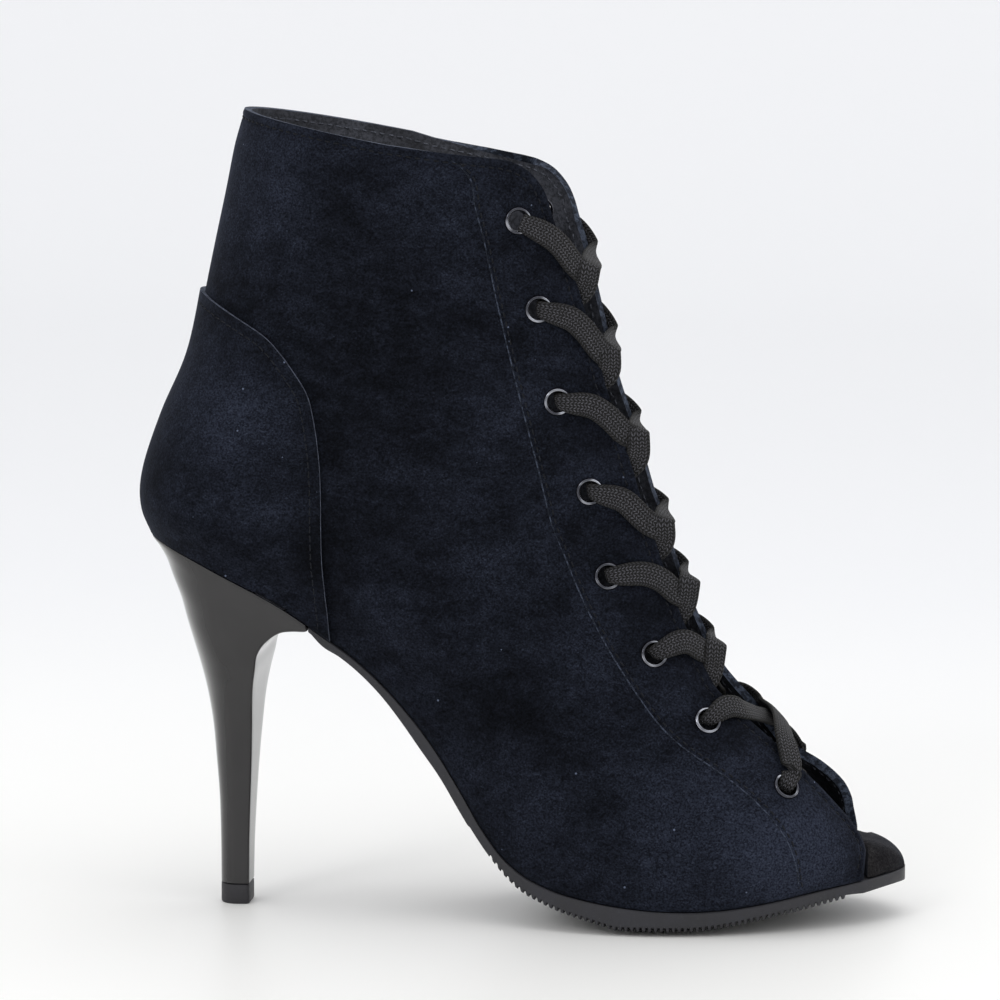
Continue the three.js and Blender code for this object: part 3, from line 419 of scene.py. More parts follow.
class Column:
    """A smooth curve through a column of a table, with a parabola's slope at each row."""

    def __init__(self, places, values):
        self.places = np.asarray(places, float)
        self.values = np.asarray(values, float)
        gaps = np.diff(self.places)
        secants = np.diff(self.values) / gaps
        inner = (secants[:-1] * gaps[1:] + secants[1:] * gaps[:-1]) / (gaps[:-1] + gaps[1:])
        self.slopes = np.concatenate([secants[:1], inner, secants[-1:]])

    def __call__(self, x):
        x = np.asarray(x, float)
        i = np.clip(np.searchsorted(self.places, x) - 1, 0, len(self.places) - 2)
        span = self.places[i + 1] - self.places[i]
        t = np.clip((x - self.places[i]) / span, 0, 1)
        t2 = t * t
        t3 = t2 * t
        return (self.values[i] * (2 * t3 - 3 * t2 + 1) + self.values[i + 1] * (3 * t2 - 2 * t3)
                + span * (self.slopes[i] * (t3 - 2 * t2 + t) + self.slopes[i + 1] * (t3 - t2)))


OUTLINE = table(
    "along seat ball centre",
    (0.000, 0.500, 0.000, 0.000),
    (0.133, 0.500, 0.000, 0.000),
    (0.213, 0.486, 0.000, 0.000),
    (0.284, 0.220, 0.145, -0.007),
    (0.355, 0.100, 0.207, -0.016),
    (0.426, 0.000, 0.286, -0.030),
    (0.497, 0.000, 0.349, -0.033),
    (0.568, 0.000, 0.428, -0.020),
    (0.663, 0.000, 0.493, 0.000),
    (0.758, 0.000, 0.489, 0.020),
    (0.852, 0.000, 0.420, 0.029),
    (0.923, 0.000, 0.306, 0.026),
    (0.971, 0.000, 0.236, 0.026),
    (1.000, 0.000, 0.180, 0.026))

BED = table(
    "along rise spring",
    (0.000, 1.004, 0), (0.014, 1.000, 0), (0.071, 0.960, 0), (0.142, 0.887, 0), (0.204, 0.813, 0),
    (0.256, 0.733, 0), (0.303, 0.655, 0), (0.353, 0.545, 0), (0.393, 0.437, 0), (0.432, 0.306, 0),
    (0.459, 0.209, 0), (0.485, 0.136, 0), (0.512, 0.087, 0), (0.549, 0.050, 0), (0.597, 0.025, 0),
    (0.653, 0.008, 0), (0.710, 0, 0), (0.772, 0, 0.05), (0.843, 0, 0.36), (0.881, 0, 0.58),
    (0.923, 0, 0.78), (0.961, 0, 0.93), (1.000, 0, 1.00))

UNDER = table(
    "along rise spring lift",
    (0.236, 0.763, 0, 0), (0.251, 0.729, 0, 0), (0.275, 0.697, 0, 0), (0.301, 0.653, 0, 0),
    (0.327, 0.598, 0, 0), (0.353, 0.531, 0, 0), (0.379, 0.458, 0, 0), (0.405, 0.386, 0, 0),
    (0.432, 0.297, 0, 0), (0.459, 0.214, 0, 0.1), (0.485, 0.147, 0, 0.2), (0.512, 0.095, 0, 0.4),
    (0.538, 0.066, 0, 0.6), (0.569, 0.040, 0, 0.8), (0.606, 0.017, 0, 1), (0.639, 0, 0, 1),
    (0.730, 0, 0, 1), (0.763, 0, 0.09, 1), (0.796, 0, 0.27, 1), (0.843, 0, 0.55, 1),
    (0.888, 0, 0.84, 0.9), (0.928, 0, 1.12, 0.7), (0.970, 0, 1.38, 0.5), (1.000, 0, 1.46, 0.4))
FLAT_START = 0.639 * FOOT_LENGTH
FLAT_END = 0.730 * FOOT_LENGTH

SHAFT = table(
    "back up side side_up throat high collar ankle gap square crest lead",
    (0.1411, 1.000, 0.3409, 0.931, 0.483, 0.943, 0.50, 0.00, 0.66, 0, 0.20, 0.004),
    (0.1397, 0.989, 0.3385, 0.922, 0.502, 0.938, 0.50, 0.00, 0.63, 0, 0.20, 0.006),
    (0.1378, 0.977, 0.3362, 0.913, 0.521, 0.926, 0.50, 0.00, 0.59, 0, 0.20, 0.009),
    (0.1345, 0.957, 0.3333, 0.893, 0.537, 0.905, 0.48, 0.02, 0.56, 0, 0.20, 0.011),
    (0.1307, 0.934, 0.3295, 0.869, 0.545, 0.883, 0.45, 0.05, 0.54, 0, 0.20, 0.013),
    (0.1260, 0.901, 0.3248, 0.837, 0.5515, 0.860, 0.42, 0.08, 0.52, 0, 0.20, 0.013),
    (0.1151, 0.808, 0.3163, 0.743, 0.569, 0.815, 0.30, 0.20, 0.51, 0, 0.20, 0.009),
    (0.0933, 0.619, 0.2969, 0.557, 0.592, 0.743, 0.10, 0.40, 0.50, 0.1, 0.20, 0.003),
    (0.0706, 0.429, 0.2694, 0.362, 0.616, 0.657, 0.00, 0.50, 0.49, 0.3, 0.20, 0),
    (0.0358, 0.281, 0.2320, 0.191, 0.633, 0.605, 0.00, 0.50, 0.49, 0.5, 0.20, 0),
    (0.0114, 0.150, 0.2100, 0.030, 0.650, 0.554, 0.00, 0.49, 0.49, 0.8, 0.20, 0),
    (0.0085, 0.066, 0.2036, -0.076, 0.664, 0.506, 0.00, 0.468, 0.49, 1, 0.22, 0),
    (0.0222, 0.000, 0.2036, -0.157, 0.676, 0.474, 0.00, 0.421, 0.49, 1, 0.24, 0))

FOOT = table(
    "side throat high outer inner gap round crest lead",
    (0.256, 0.6875, 0.436, 0.393, 0.384, 0.48, 0.30, 0.28, 0),
    (0.302, 0.700, 0.399, 0.400, 0.382, 0.48, 0.45, 0.32, 0),
    (0.353, 0.7145, 0.361, 0.411, 0.385, 0.47, 0.50, 0.36, 0),
    (0.398, 0.7295, 0.327, 0.425, 0.395, 0.47, 0.55, 0.38, 0),
    (0.436, 0.743, 0.299, 0.441, 0.411, 0.47, 0.60, 0.38, 0),
    (0.473, 0.757, 0.274, 0.459, 0.433, 0.47, 0.60, 0.38, 0),
    (0.521, 0.779, 0.250, 0.483, 0.463, 0.47, 0.65, 0.36, -0.002),
    (0.578, 0.805, 0.228, 0.501, 0.492, 0.47, 0.70, 0.34, -0.0076),
    (0.644, 0.836, 0.201, 0.512, 0.512, 0.47, 0.70, 0.33, -0.0164),
    (0.710, 0.865, 0.173, 0.507, 0.522, 0.47, 0.70, 0.33, -0.0194),
    (0.772, 0.889, 0.150, 0.480, 0.516, 0.46, 0.70, 0.33, -0.004),
    (0.829, 0.910, 0.1275, 0.432, 0.486, 0.45, 0.70, 0.34, 0.002),
    (0.876, 0.927, 0.108, 0.369, 0.432, 0.43, 0.70, 0.36, -0.003),
    (0.914, 0.9395, 0.0905, 0.303, 0.368, 0.41, 0.70, 0.38, -0.0114),
    (0.937, 0.947, 0.076, 0.254, 0.319, 0.40, 0.70, 0.42, -0.016),
    (0.9485, 0.9505, 0.063, 0.227, 0.292, 0.40, 0.70, 0.45, -0.0175))

# Front edge of the counter as shares of its length and rise, from the feather up to the back
COUNTER = table(
    "along up",
    (1.020, -0.60), (1.004, -0.30), (0.985, -0.10), (0.982, 0.08), (0.982, 0.22), (0.974, 0.35),
    (0.950, 0.51), (0.918, 0.62), (0.853, 0.71), (0.769, 0.80), (0.690, 0.86), (0.560, 0.92),
    (0.400, 0.985), (0.300, 1.02), (0.100, 1.05))

HEEL = table(
    "back back_up front front_up wide bow",
    (0.0160, 0.997, 0.2330, 0.782, 0.535, 1), (0.0245, 0.973, 0.2150, 0.770, 0.526, 1),
    (0.0345, 0.940, 0.2000, 0.761, 0.515, 0.8), (0.0435, 0.892, 0.1866, 0.746, 0.500, 0.5),
    (0.0540, 0.838, 0.1742, 0.722, 0.484, 0.2), (0.0620, 0.780, 0.1660, 0.692, 0.464, 0),
    (0.0703, 0.722, 0.1625, 0.653, 0.430, 0), (0.0795, 0.655, 0.1577, 0.603, 0.366, 0),
    (0.0880, 0.578, 0.1544, 0.545, 0.292, 0), (0.0945, 0.491, 0.1522, 0.477, 0.236, 0),
    (0.0982, 0.395, 0.1496, 0.391, 0.184, 0), (0.1018, 0.289, 0.1468, 0.289, 0.154, 0),
    (0.1030, 0.173, 0.1442, 0.173, 0.131, 0))

# Places of the eyelets: steps of the pitch down the flap, and shares of the setback
EYELETS = table(
    "step back",
    (0.00, 0.93), (1.01, 1.08), (2.06, 1.20), (3.07, 1.08), (4.05, 1.28), (5.00, 0.98), (5.87, 0.76),
    (7.00, 0.76))

# Soft creases of the worn shape: a trough, or a ridge where the depth is negative, between two places of the
# side view, with its reach to each side. side is -1 for the outer side, 1 for the inner side and 0 for both.
CREASES = table(
    "side x0 z0 x1 z1 reach depth",
    (-1, 66, 150, 92, 139, 7, 0.7),
    (-1, 58, 132, 98, 116, 8, 0.8),
    (-1, 70, 122, 104, 104, 7, -0.5),
    (-1, 60, 176, 96, 170, 9, 0.5),
    (-1, 84, 96, 116, 84, 8, 0.6),
    (-1, 92, 70, 132, 58, 8, 0.6),
    (-1, 118, 50, 160, 42, 8, 0.7),
    (-1, 110, 30, 140, 24, 7, -0.4),
    (-1, 150, 34, 178, 26, 7, 0.5),
    (-1, 62, 100, 74, 76, 9, 0.6),
    (-1, 34, 196, 62, 190, 10, 0.4),
    (1, 62, 148, 94, 136, 8, 0.9),
    (1, 60, 128, 102, 112, 8, 0.9),
    (1, 88, 92, 120, 82, 8, 0.7),
    (1, 104, 62, 146, 52, 8, 0.7),
    (1, 140, 40, 176, 30, 7, 0.6),
    (1, 50, 186, 88, 180, 9, 0.5))

# Patches where the nap lies lighter, or darker where the shade is negative. Some are painted light where the
# light falls: the strongest on the top of the toe, another on the counter.
NAP_AND_PAINTED_LIGHT = table(
    "x z reach shade",
    (31, 134, 12, 0.46), (43, 116, 9, 0.20), (22, 150, 8, 0.15), (26, 116, 8, 0.15),
    (119, 36, 15, 0.12), (142, 22, 15, 0.10), (89, 77, 10, 0.14), (160, 36, 16, 0.34), (97, 101, 9, 0.20),
    (70, 95, 10, 0.12), (40, 205, 18, 0.34), (105, 141, 9, 0.22), (182, 22, 13, 1.0),
    (78, 155, 15, -0.22), (62, 186, 15, -0.12), (50, 99, 11, -0.22), (108, 63, 15, -0.20),
    (58, 128, 12, -0.10), (150, 12, 9, 0.16), (88, 190, 14, 0.12), (128, 70, 12, 0.14))


def lerp(a, b, t):
    return a + (b - a) * t


def smooth(t):
    t = np.clip(t, 0, 1)
    return t * t * (3 - 2 * t)


def steps(start, end, count):
    return [lerp(start, end, i / count) for i in range(count + 1)]


def joined(*runs):
    """Runs of rising numbers as one, with the places where they meet given once."""
    result = list(runs[0])
    for run in runs[1:]:
        result += run[1:]
    return result


# The upper's surface

HEEL_BACK = SHAFT["back"][-1] * FOOT_LENGTH
SIDE_END = SHAFT["side"][-1] * FOOT_LENGTH
TOE_ROUND = FOOT_LENGTH * (1 - 0.923)   # the outline rounds off over this length at the toe
outline_places = OUTLINE["along"] * FOOT_LENGTH
outline_half = Column(outline_places, OUTLINE["seat"] * SEAT_WIDTH + OUTLINE["ball"] * BALL_WIDTH)
outline_centre = Column(outline_places, OUTLINE["centre"] * BALL_WIDTH)
bed_curve = Column(BED["along"] * FOOT_LENGTH,
                   BED["rise"] * (HEEL_HEIGHT - BED_HEIGHT) + BED["spring"] * TOE_SPRING)


def round_end(distance, radius):
    t = np.clip(1 - distance / radius, 0, 1)
    return np.sqrt(1 - t * t)


def outline(x, side):
    """The bottom edge of the upper, round at the heel and at the toe."""
    ends = round_end(x - HEEL_BACK, SEAT_RADIUS) * round_end(FOOT_LENGTH - x, TOE_ROUND)
    return side * outline_half(x) * ends + outline_centre(x)


def bed(x):
    return BED_HEIGHT - CLEARANCE + bed_curve(x)


def feather(x):
    return bed(x) + CLEARANCE


def section_columns():
    """Curves of the sections' sizes over their number, in millimetres. The shaft's own end at the heel seat."""
    rise = BOOT_HEIGHT - HEEL_HEIGHT
    ankle = np.where(SHAFT["collar"] > 0, SHAFT["ankle"], 0.5)
    side_half = SHAFT["collar"] * COLLAR_WIDTH + ankle * ANKLE_WIDTH
    shaft = {
        "back_x": SHAFT["back"] * FOOT_LENGTH,
        "back_z": HEEL_HEIGHT + SHAFT["up"] * rise,
        "half": SHAFT["collar"] * COLLAR_WIDTH + SHAFT["ankle"] * ANKLE_WIDTH,
        "square": SHAFT["square"],
        "side_z": HEEL_HEIGHT + SHAFT["side_up"] * rise}
    both = {name: np.concatenate([SHAFT[name], FOOT[name]])
            for name in ("side", "throat", "high", "gap", "lead")}
    whole = {
        "side_x": both["side"] * FOOT_LENGTH,
        "throat_x": both["throat"] * FOOT_LENGTH,
        "throat_z": BED_HEIGHT + both["high"] * (BOOT_HEIGHT - BED_HEIGHT),
        "outer": np.concatenate([side_half, FOOT["outer"] * BALL_WIDTH]),
        "inner": np.concatenate([side_half, FOOT["inner"] * BALL_WIDTH]),
        "gap": both["gap"] * THROAT_GAP,
        "crest": np.concatenate([SHAFT["crest"], FOOT["crest"]]),
        "round": np.concatenate([np.zeros(len(side_half)), FOOT["round"]]),
        "lead": both["lead"] * FOOT_LENGTH}
    return {name: Column(range(len(values)), values) for name, values in {**shaft, **whole}.items()}


SECTION = section_columns()
HEEL_SECTION = len(SHAFT["back"]) - 1
LAST_SECTION = HEEL_SECTION + len(FOOT["side"])
CORNER_ROWS = 5
CREST_COLUMN = 0.4


def near_seat(s):
    return smooth((s - HEEL_SECTION + 3) / 3)


def back_point(side, s, v):
    """The round back: v runs from -1 on the back seam to 0 on the side."""
    turn = (v + 1) * math.pi / 2
    share = 1 - np.cos(turn)
    back_x, side_x = SECTION["back_x"](s), SECTION["side_x"](np.minimum(s, HEEL_SECTION))
    x = lerp(back_x, side_x, share)
    seat_end = outline(SIDE_END, side)
    like_seat = outline(lerp(HEEL_BACK, SIDE_END, share), side) / seat_end
    half = lerp(SECTION["half"](s), abs(seat_end), near_seat(s) ** 4)
    out = half * lerp(np.sin(turn), like_seat, SECTION["square"](s))
    chord = lerp(SECTION["back_z"](s), SECTION["side_z"](s), share)
    hug = feather(x) - lerp(feather(back_x), feather(side_x), share)
    z = np.where(s >= HEEL_SECTION, feather(x), chord + hug * near_seat(s))
    return np.stack([x, side * out, z], -1)


def front_point(side, s, v):
    """The side and the flap: v runs from 0 on the side, or on the bed, to 1 on the edge of the throat."""
    lead = SECTION["lead"](s) if side > 0 else 0 * s
    on_foot = s >= HEEL_SECTION
    side_x = SECTION["side_x"](s) + np.where(on_foot, lead, 0)
    on_bed = np.stack([side_x, outline(side_x, side), feather(side_x)], -1)
    on_side = back_point(side, np.minimum(s, HEEL_SECTION), 0 * s)
    foot = np.where(on_foot[..., None], on_bed, on_side)
    start = np.abs(foot[..., 1])
    full = np.maximum(SECTION["inner" if side > 0 else "outer"](s), start + 0.05)
    end = np.arccos(np.minimum(SECTION["gap"](s) / full, 0.98))
    rise = np.clip(v / CREST_COLUMN, 0, 1)
    crest = SECTION["crest"](s)
    round_rise = np.sqrt(1 - (1 - rise) ** 2)
    out_low = lerp(start, full, lerp(smooth(rise), round_rise, SECTION["round"](s)))
    turn = end * (v - CREST_COLUMN) / (1 - CREST_COLUMN)
    low = v < CREST_COLUMN
    along = np.where(low, crest * rise, crest + (1 - crest) * np.sin(turn) / np.sin(end))
    out = np.where(low, out_low, full * np.cos(turn))
    drop = INNER_DROP * np.maximum(1 - s / (CORNER_ROWS + 2), 0) * v if side > 0 else 0
    return np.stack([lerp(foot[..., 0], SECTION["throat_x"](s) + lead, along), side * out,
                     lerp(foot[..., 2], SECTION["throat_z"](s), along) - drop], -1)


def surface_point(side, s, v):
    """A point of the upper's outer surface: s runs down the sections, v from the back seam to the throat."""
    s, v = np.broadcast_arrays(np.asarray(s, float), np.asarray(v, float))
    back = back_point(side, np.minimum(s, HEEL_SECTION), v)
    return np.where((v < 0)[..., None], back, front_point(side, s, v))


def unit(vectors):
    return vectors / np.maximum(np.linalg.norm(vectors, axis=-1, keepdims=True), 1e-9)


def surface_normal(side, s, v):
    s, v = np.broadcast_arrays(np.asarray(s, float), np.asarray(v, float))
    step = 0.02
    s0 = np.maximum(s - step, 0)
    s1 = np.minimum(s + step, np.where(v < 0, HEEL_SECTION, LAST_SECTION))
    v0 = np.maximum(v - step, np.where(s > HEEL_SECTION, 0, -1))
    v1 = np.minimum(v + step, 1)
    down = surface_point(side, s1, v) - surface_point(side, s0, v)
    across = surface_point(side, s, v1) - surface_point(side, s, v0)
    normal = unit(np.cross(across, down) * side)
    normal[v == -1, 1] = 0
    return unit(normal)


def throat_place(side, length):
    """The section that lies a length down the edge of the flap, from the end of its rounded corner."""
    s = np.linspace(CORNER_ROWS, LAST_SECTION, 401)
    edge = surface_point(side, s, 1.0)
    travelled = np.concatenate([[0], np.cumsum(np.linalg.norm(np.diff(edge, axis=0), axis=1))])
    return float(np.interp(length, travelled, s))


def column_behind(side, s, distance):
    """The column that lies a distance behind the flap's edge, over the surface."""
    v = np.linspace(1, -1, 401)
    line = surface_point(side, s, v)
    travelled = np.concatenate([[0], np.cumsum(np.linalg.norm(np.diff(line, axis=0), axis=1))])
    return float(np.interp(distance, travelled, v))


def eyelet_places(side):
    places = []
    for step, back in zip(EYELETS["step"], EYELETS["back"]):
        s = throat_place(side, EYELET_FIRST + step * EYELET_PITCH)
        places.append((s, column_behind(side, s, back * EYELET_SETBACK)))
    return places


PLACES = {side: eyelet_places(side) for side in (-1, 1)}
EYELET_COUNT = len(EYELETS["step"])

# Seams and relief of the suede

EDGE_ROW = 2.3                  # the edge stitching runs this far from each cut edge
ROLL_HEIGHT = 0.22              # the turned edge between the stitching and the cut
GROOVE_DEPTH = 0.3
GROOVE_REACH = 0.45
CALM_REACH = 9.0                # creases fade away over this distance before a cut edge
FACING_STEP = 0.35              # the facing lies on top of the quarter

# The back edge of the facing: how far it lies behind the edge of the flap, at sections of the upper
FACING = table(
    "section setback",
    (0, 20), (3, 20.6), (5, 22.6), (7, 23.9), (9, 24.3), (11, 25.2), (13, 24.3), (15, 22.7),
    (17, 20.7), (19, 19.5), (21, 18.7), (22.5, 19.7), (24, 23.4), (25, 29), (26, 36), (28, 40))
facing_setback = Column(FACING["section"], FACING["setback"])


def facing_column(side, s):
    return max(column_behind(side, s, float(facing_setback(s))), 0.02)


FACING_SECTIONS = np.linspace(0, LAST_SECTION, 57)
FACING_COLUMN = {side: Column(FACING_SECTIONS, [facing_column(side, s) for s in FACING_SECTIONS])
                 for side in (-1, 1)}


def edge_tree(side):
    """The cut edges of the collar, the throat and the open toe, for distances to them."""
    shaded_rim = surface_point(side, 0.0, np.linspace(-1, 1, 400))
    throat = surface_point(side, np.linspace(0, LAST_SECTION, 700), 1.0)
    toe = surface_point(side, LAST_SECTION, np.linspace(0, 1, 120))
    points = np.concatenate([shaded_rim, throat, toe])
    tree = KDTree(len(points))
    for i, point in enumerate(points):
        tree.insert(point, i)
    tree.balance()
    return tree


EDGES = {side: edge_tree(side) for side in (-1, 1)}


def edge_distance(side, points):
    flat = points.reshape(-1, 3)
    return np.array([EDGES[side].find(point)[2] for point in flat]).reshape(points.shape[:-1])


def segment_distance(points, row):
    """Distance in the side view from points to a crease's line."""
    x0, z0, x1, z1 = row
    way = np.array([x1 - x0, z1 - z0])
    from_start = points[..., [0, 2]] - np.array([x0, z0])
    t = np.clip(from_start @ way / (way @ way), 0, 1)
    return np.linalg.norm(from_start - t[..., None] * way, axis=-1)


def creases(side, points):
    depth = np.zeros(points.shape[:-1])
    for i in range(len(CREASES["side"])):
        if CREASES["side"][i] in (0, side):
            row = [CREASES[name][i] for name in ("x0", "z0", "x1", "z1")]
            depth -= CREASES["depth"][i] * np.exp(-(segment_distance(points, row) / CREASES["reach"][i]) ** 2)
    return depth


def relief(side, s, v, points, distance):
    """How far the suede stands out of the plain surface: creases, turned edges, grooves, the facing's step."""
    calm = smooth(distance / CALM_REACH)
    out = creases(side, points) * calm
    out += ROLL_HEIGHT * np.exp(-((distance - EDGE_ROW / 2) / (EDGE_ROW / 2.6)) ** 2)
    out -= GROOVE_DEPTH * np.exp(-((distance - EDGE_ROW) / GROOVE_REACH) ** 2)
    behind = (FACING_COLUMN[side](s) - v) * flap_width(side, s)
    out += FACING_STEP * (1 - smooth((behind + 0.5) / 1.0))
    return out


def flap_width(side, s):
    """Millimetres for each unit of the column number, near the facing."""
    column = FACING_COLUMN[side](s)
    near = surface_point(side, s, column) - surface_point(side, s, column - 0.05)
    return np.linalg.norm(near, axis=-1) / 0.05


# The nap's patches summed at each point, some of them painted light
def nap_and_painted_light(points):
    shade = np.zeros(points.shape[:-1])
    for x, z, reach, tone in zip(NAP_AND_PAINTED_LIGHT["x"], NAP_AND_PAINTED_LIGHT["z"], NAP_AND_PAINTED_LIGHT["reach"], NAP_AND_PAINTED_LIGHT["shade"]):
        away = np.hypot(points[..., 0] - x, points[..., 2] - z)
        shade += tone * np.exp(-(away / reach) ** 2)
    return shade


def skin_point(side, s, v, lift):
    """A point above the suede, with its relief, and the surface's normal there."""
    plain = surface_point(side, s, v)
    normal = surface_normal(side, s, v)
    out = relief(side, np.asarray(s, float), np.asarray(v, float), plain, edge_distance(side, plain)) + lift
    return plain + normal * out[..., None], normal


# Meshes

def new_piece(name, points, faces, materials, replaced=(), face_material=None, sharp=40):
    """A piece of the boot, from points in the last maker's frame. It rides on the one body."""
    mesh = bpy.data.meshes.new(name)
    mesh.from_pydata(to_frame(points).tolist(), [], faces)
    for material in materials:
        mesh.materials.append(material)
    if face_material is not None:
        mesh.polygons.foreach_set("material_index", face_material)
    mesh.polygons.foreach_set("use_smooth", [True] * len(mesh.polygons))
    mesh.set_sharp_from_angle(angle=math.radians(sharp))
    mesh.update()
    piece = bpy.data.objects.new(name, mesh)
    bpy.context.scene.collection.objects.link(piece)
    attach(piece, "root")
    if replaced:
        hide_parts(*replaced)
    return piece


def skin_rings(rings, closed=False):
    """Faces over rings of equal length, with both ends capped by strips unless the rings close on
    themselves."""
    count = len(rings[0])
    points = np.concatenate([np.asarray(ring, float) for ring in rings])
    faces = []
    last = len(rings) if closed else len(rings) - 1
    for i in range(last):
        a, b = i * count, (i + 1) % len(rings) * count
        for j in range(count):
            k = (j + 1) % count
            faces.append((a + j, a + k, b + k, b + j))
    if not closed:
        for base, flip in ((0, True), ((len(rings) - 1) * count, False)):
            for j in range(count // 2 - 1):
                strip = [base + j, base + j + 1, base + count - 2 - j, base + count - 1 - j]
                faces.append(tuple(reversed(strip)) if flip else tuple(strip))
    return points, faces


def cut_by(piece, cutter, operation):
    """Cuts or keeps a piece by a closed cutter, and removes the cutter."""
    cut = piece.modifiers.new("cut", "BOOLEAN")
    cut.operation = operation
    cut.solver = "MANIFOLD"
    cut.object = cutter
    bpy.context.view_layer.update()
    graph = bpy.context.evaluated_depsgraph_get()
    mesh = bpy.data.meshes.new_from_object(piece.evaluated_get(graph))
    piece.modifiers.remove(cut)
    old = piece.data
    piece.data = mesh
    bpy.data.meshes.remove(old)
    bpy.data.objects.remove(cutter)


def plain_object(name, points, faces, materials=()):
    mesh = bpy.data.meshes.new(name)
    mesh.from_pydata(to_frame(points).tolist(), [], faces)
    for material in materials:
        mesh.materials.append(material)
    thing = bpy.data.objects.new(name, mesh)
    bpy.context.scene.collection.objects.link(thing)
    return thing


UPPER_ROWS = joined(steps(0, CORNER_ROWS, 34), steps(CORNER_ROWS, HEEL_SECTION, 62),
                    steps(HEEL_SECTION, HEEL_SECTION + 7, 50), steps(HEEL_SECTION + 7, LAST_SECTION - 1, 48),
                    steps(LAST_SECTION - 1, LAST_SECTION, 9))
UPPER_COLUMNS = joined(steps(-1, 0, 34), steps(0, CREST_COLUMN, 18), steps(CREST_COLUMN, 0.88, 26),
                       steps(0.88, 1, 14))


def shell(rows, columns, outside, inside):
    """A closed shell between two distances over the upper's surface. Gives points, faces and a face kind each:
    0 outside, 1 inside, 2 cut edge. outside(side, s, v, points) and inside give the distances."""
    s, v = np.meshgrid(np.array(rows), np.array(columns), indexing="ij")
    points = []
    index = {}
    total = 0
    for layer, distance in enumerate((outside, inside)):
        for side in (-1, 1):
            plain = surface_point(side, s, v)
            normal = surface_normal(side, s, v)
            on_bottom = (v <= 0) & (s >= HEEL_SECTION)
            normal[on_bottom, 2] = 0
            normal = unit(normal)
            moved = plain + normal * distance(side, s, v, plain)[..., None]
            moved[on_bottom, 2] = feather(moved[on_bottom, 0])
            number = np.arange(s.size).reshape(s.shape) + total
            if side > 0:
                number[s[:, 0] <= HEEL_SECTION, 0] = index[layer, -1][s[:, 0] <= HEEL_SECTION, 0]
            index[layer, side] = number
            points.append(moved.reshape(-1, 3))
            total += s.size
    faces = []
    kinds = []

    def put(flip, kind, *corners):
        corners = [int(c) for c in corners]
        faces.append(tuple(reversed(corners)) if flip else tuple(corners))
        kinds.append(kind)

    last_row, last_column = len(rows) - 1, len(columns) - 1
    heel_row = rows.index(HEEL_SECTION)
    for side in (-1, 1):
        outer, inner = index[0, side], index[1, side]
        flip = side > 0
        for i in range(last_row):
            on_foot = rows[i] >= HEEL_SECTION
            for j in range(last_column):
                if on_foot and columns[j] < 0:
                    continue
                put(flip, 0, outer[i, j], outer[i + 1, j], outer[i + 1, j + 1], outer[i, j + 1])
                put(not flip, 1, inner[i, j], inner[i + 1, j], inner[i + 1, j + 1], inner[i, j + 1])
                if on_foot and columns[j] == 0:
                    put(not flip, 2, outer[i, j], outer[i + 1, j], inner[i + 1, j], inner[i, j])
            put(flip, 2, outer[i, last_column], outer[i + 1, last_column], inner[i + 1, last_column],
                inner[i, last_column])
        for j in range(last_column):
            end = heel_row if columns[j] < 0 else last_row
            put(flip, 2, outer[0, j], outer[0, j + 1], inner[0, j + 1], inner[0, j])
            put(not flip, 2, outer[end, j], outer[end, j + 1], inner[end, j + 1], inner[end, j])
    points = np.concatenate(points)
    used = sorted({c for face in faces for c in face})
    renumber = {old: new for new, old in enumerate(used)}
    faces = [tuple(renumber[c] for c in face) for face in faces]
    return points[used], faces, kinds


def add_nap_and_painted_light(piece):
    """Writes how light the nap lies at each point, with painted light on the top of the toe and on the counter,
    for the suede's material.
    """
    mesh = piece.data
    places = np.empty(len(mesh.vertices) * 3)
    mesh.vertices.foreach_get("co", places)
    points = places.reshape(-1, 3) * 1000 - SHIFT
    attribute = mesh.attributes.new("nap", "FLOAT", "POINT")
    attribute.data.foreach_set("value", nap_and_painted_light(points))


def seat_at(side, place, profile, turns):
    """Rings of a turned profile of radius and height, standing on the surface at an eyelet."""
    s, v = place
    centre = surface_point(side, s, v)
    normal = surface_normal(side, s, v)
    across = unit(np.cross(normal, [0, 1, 0.3]))
    other = np.cross(normal, across)
    rings = []
    for radius, height in profile:
        angles = np.arange(turns) * 2 * math.pi / turns
        circle = np.cos(angles)[:, None] * across + np.sin(angles)[:, None] * other
        rings.append(centre + normal * height + circle * radius)
    return rings


def joined_rings(groups, closed):
    """Several skinned groups of rings as one list of points and faces."""
    all_points, all_faces, start = [], [], 0
    for rings in groups:
        points, faces = skin_rings(rings, closed)
        all_points.append(points)
        all_faces += [tuple(c + start for c in face) for face in faces]
        start += len(points)
    return np.concatenate(all_points), all_faces


def add_upper(suede, lining, edge):
    def outside(side, s, v, plain):
        return relief(side, s, v, plain, edge_distance(side, plain))

    def inside(side, s, v, plain):
        calm = smooth(edge_distance(side, plain) / CALM_REACH)
        return np.full(s.shape, -UPPER_WALL) + creases(side, plain) * calm

    points, faces, kinds = shell(UPPER_ROWS, UPPER_COLUMNS, outside, inside)
    piece = new_piece("upper_suede_shell", points, faces, [suede, lining, edge], ["upper"],
                      kinds)
    drill = [(BARREL_RADIUS + 0.1, -UPPER_WALL * 2), (BARREL_RADIUS + 0.1, UPPER_WALL * 2)]
    groups = [seat_at(side, place, drill, 24) for side in (-1, 1) for place in PLACES[side]]
    points, faces = joined_rings(groups, False)
    cut_by(piece, plain_object("drill", points, faces, [suede, lining, edge]), "DIFFERENCE")
    piece.data.set_sharp_from_angle(angle=math.radians(40))
    add_nap_and_painted_light(piece)
    return piece


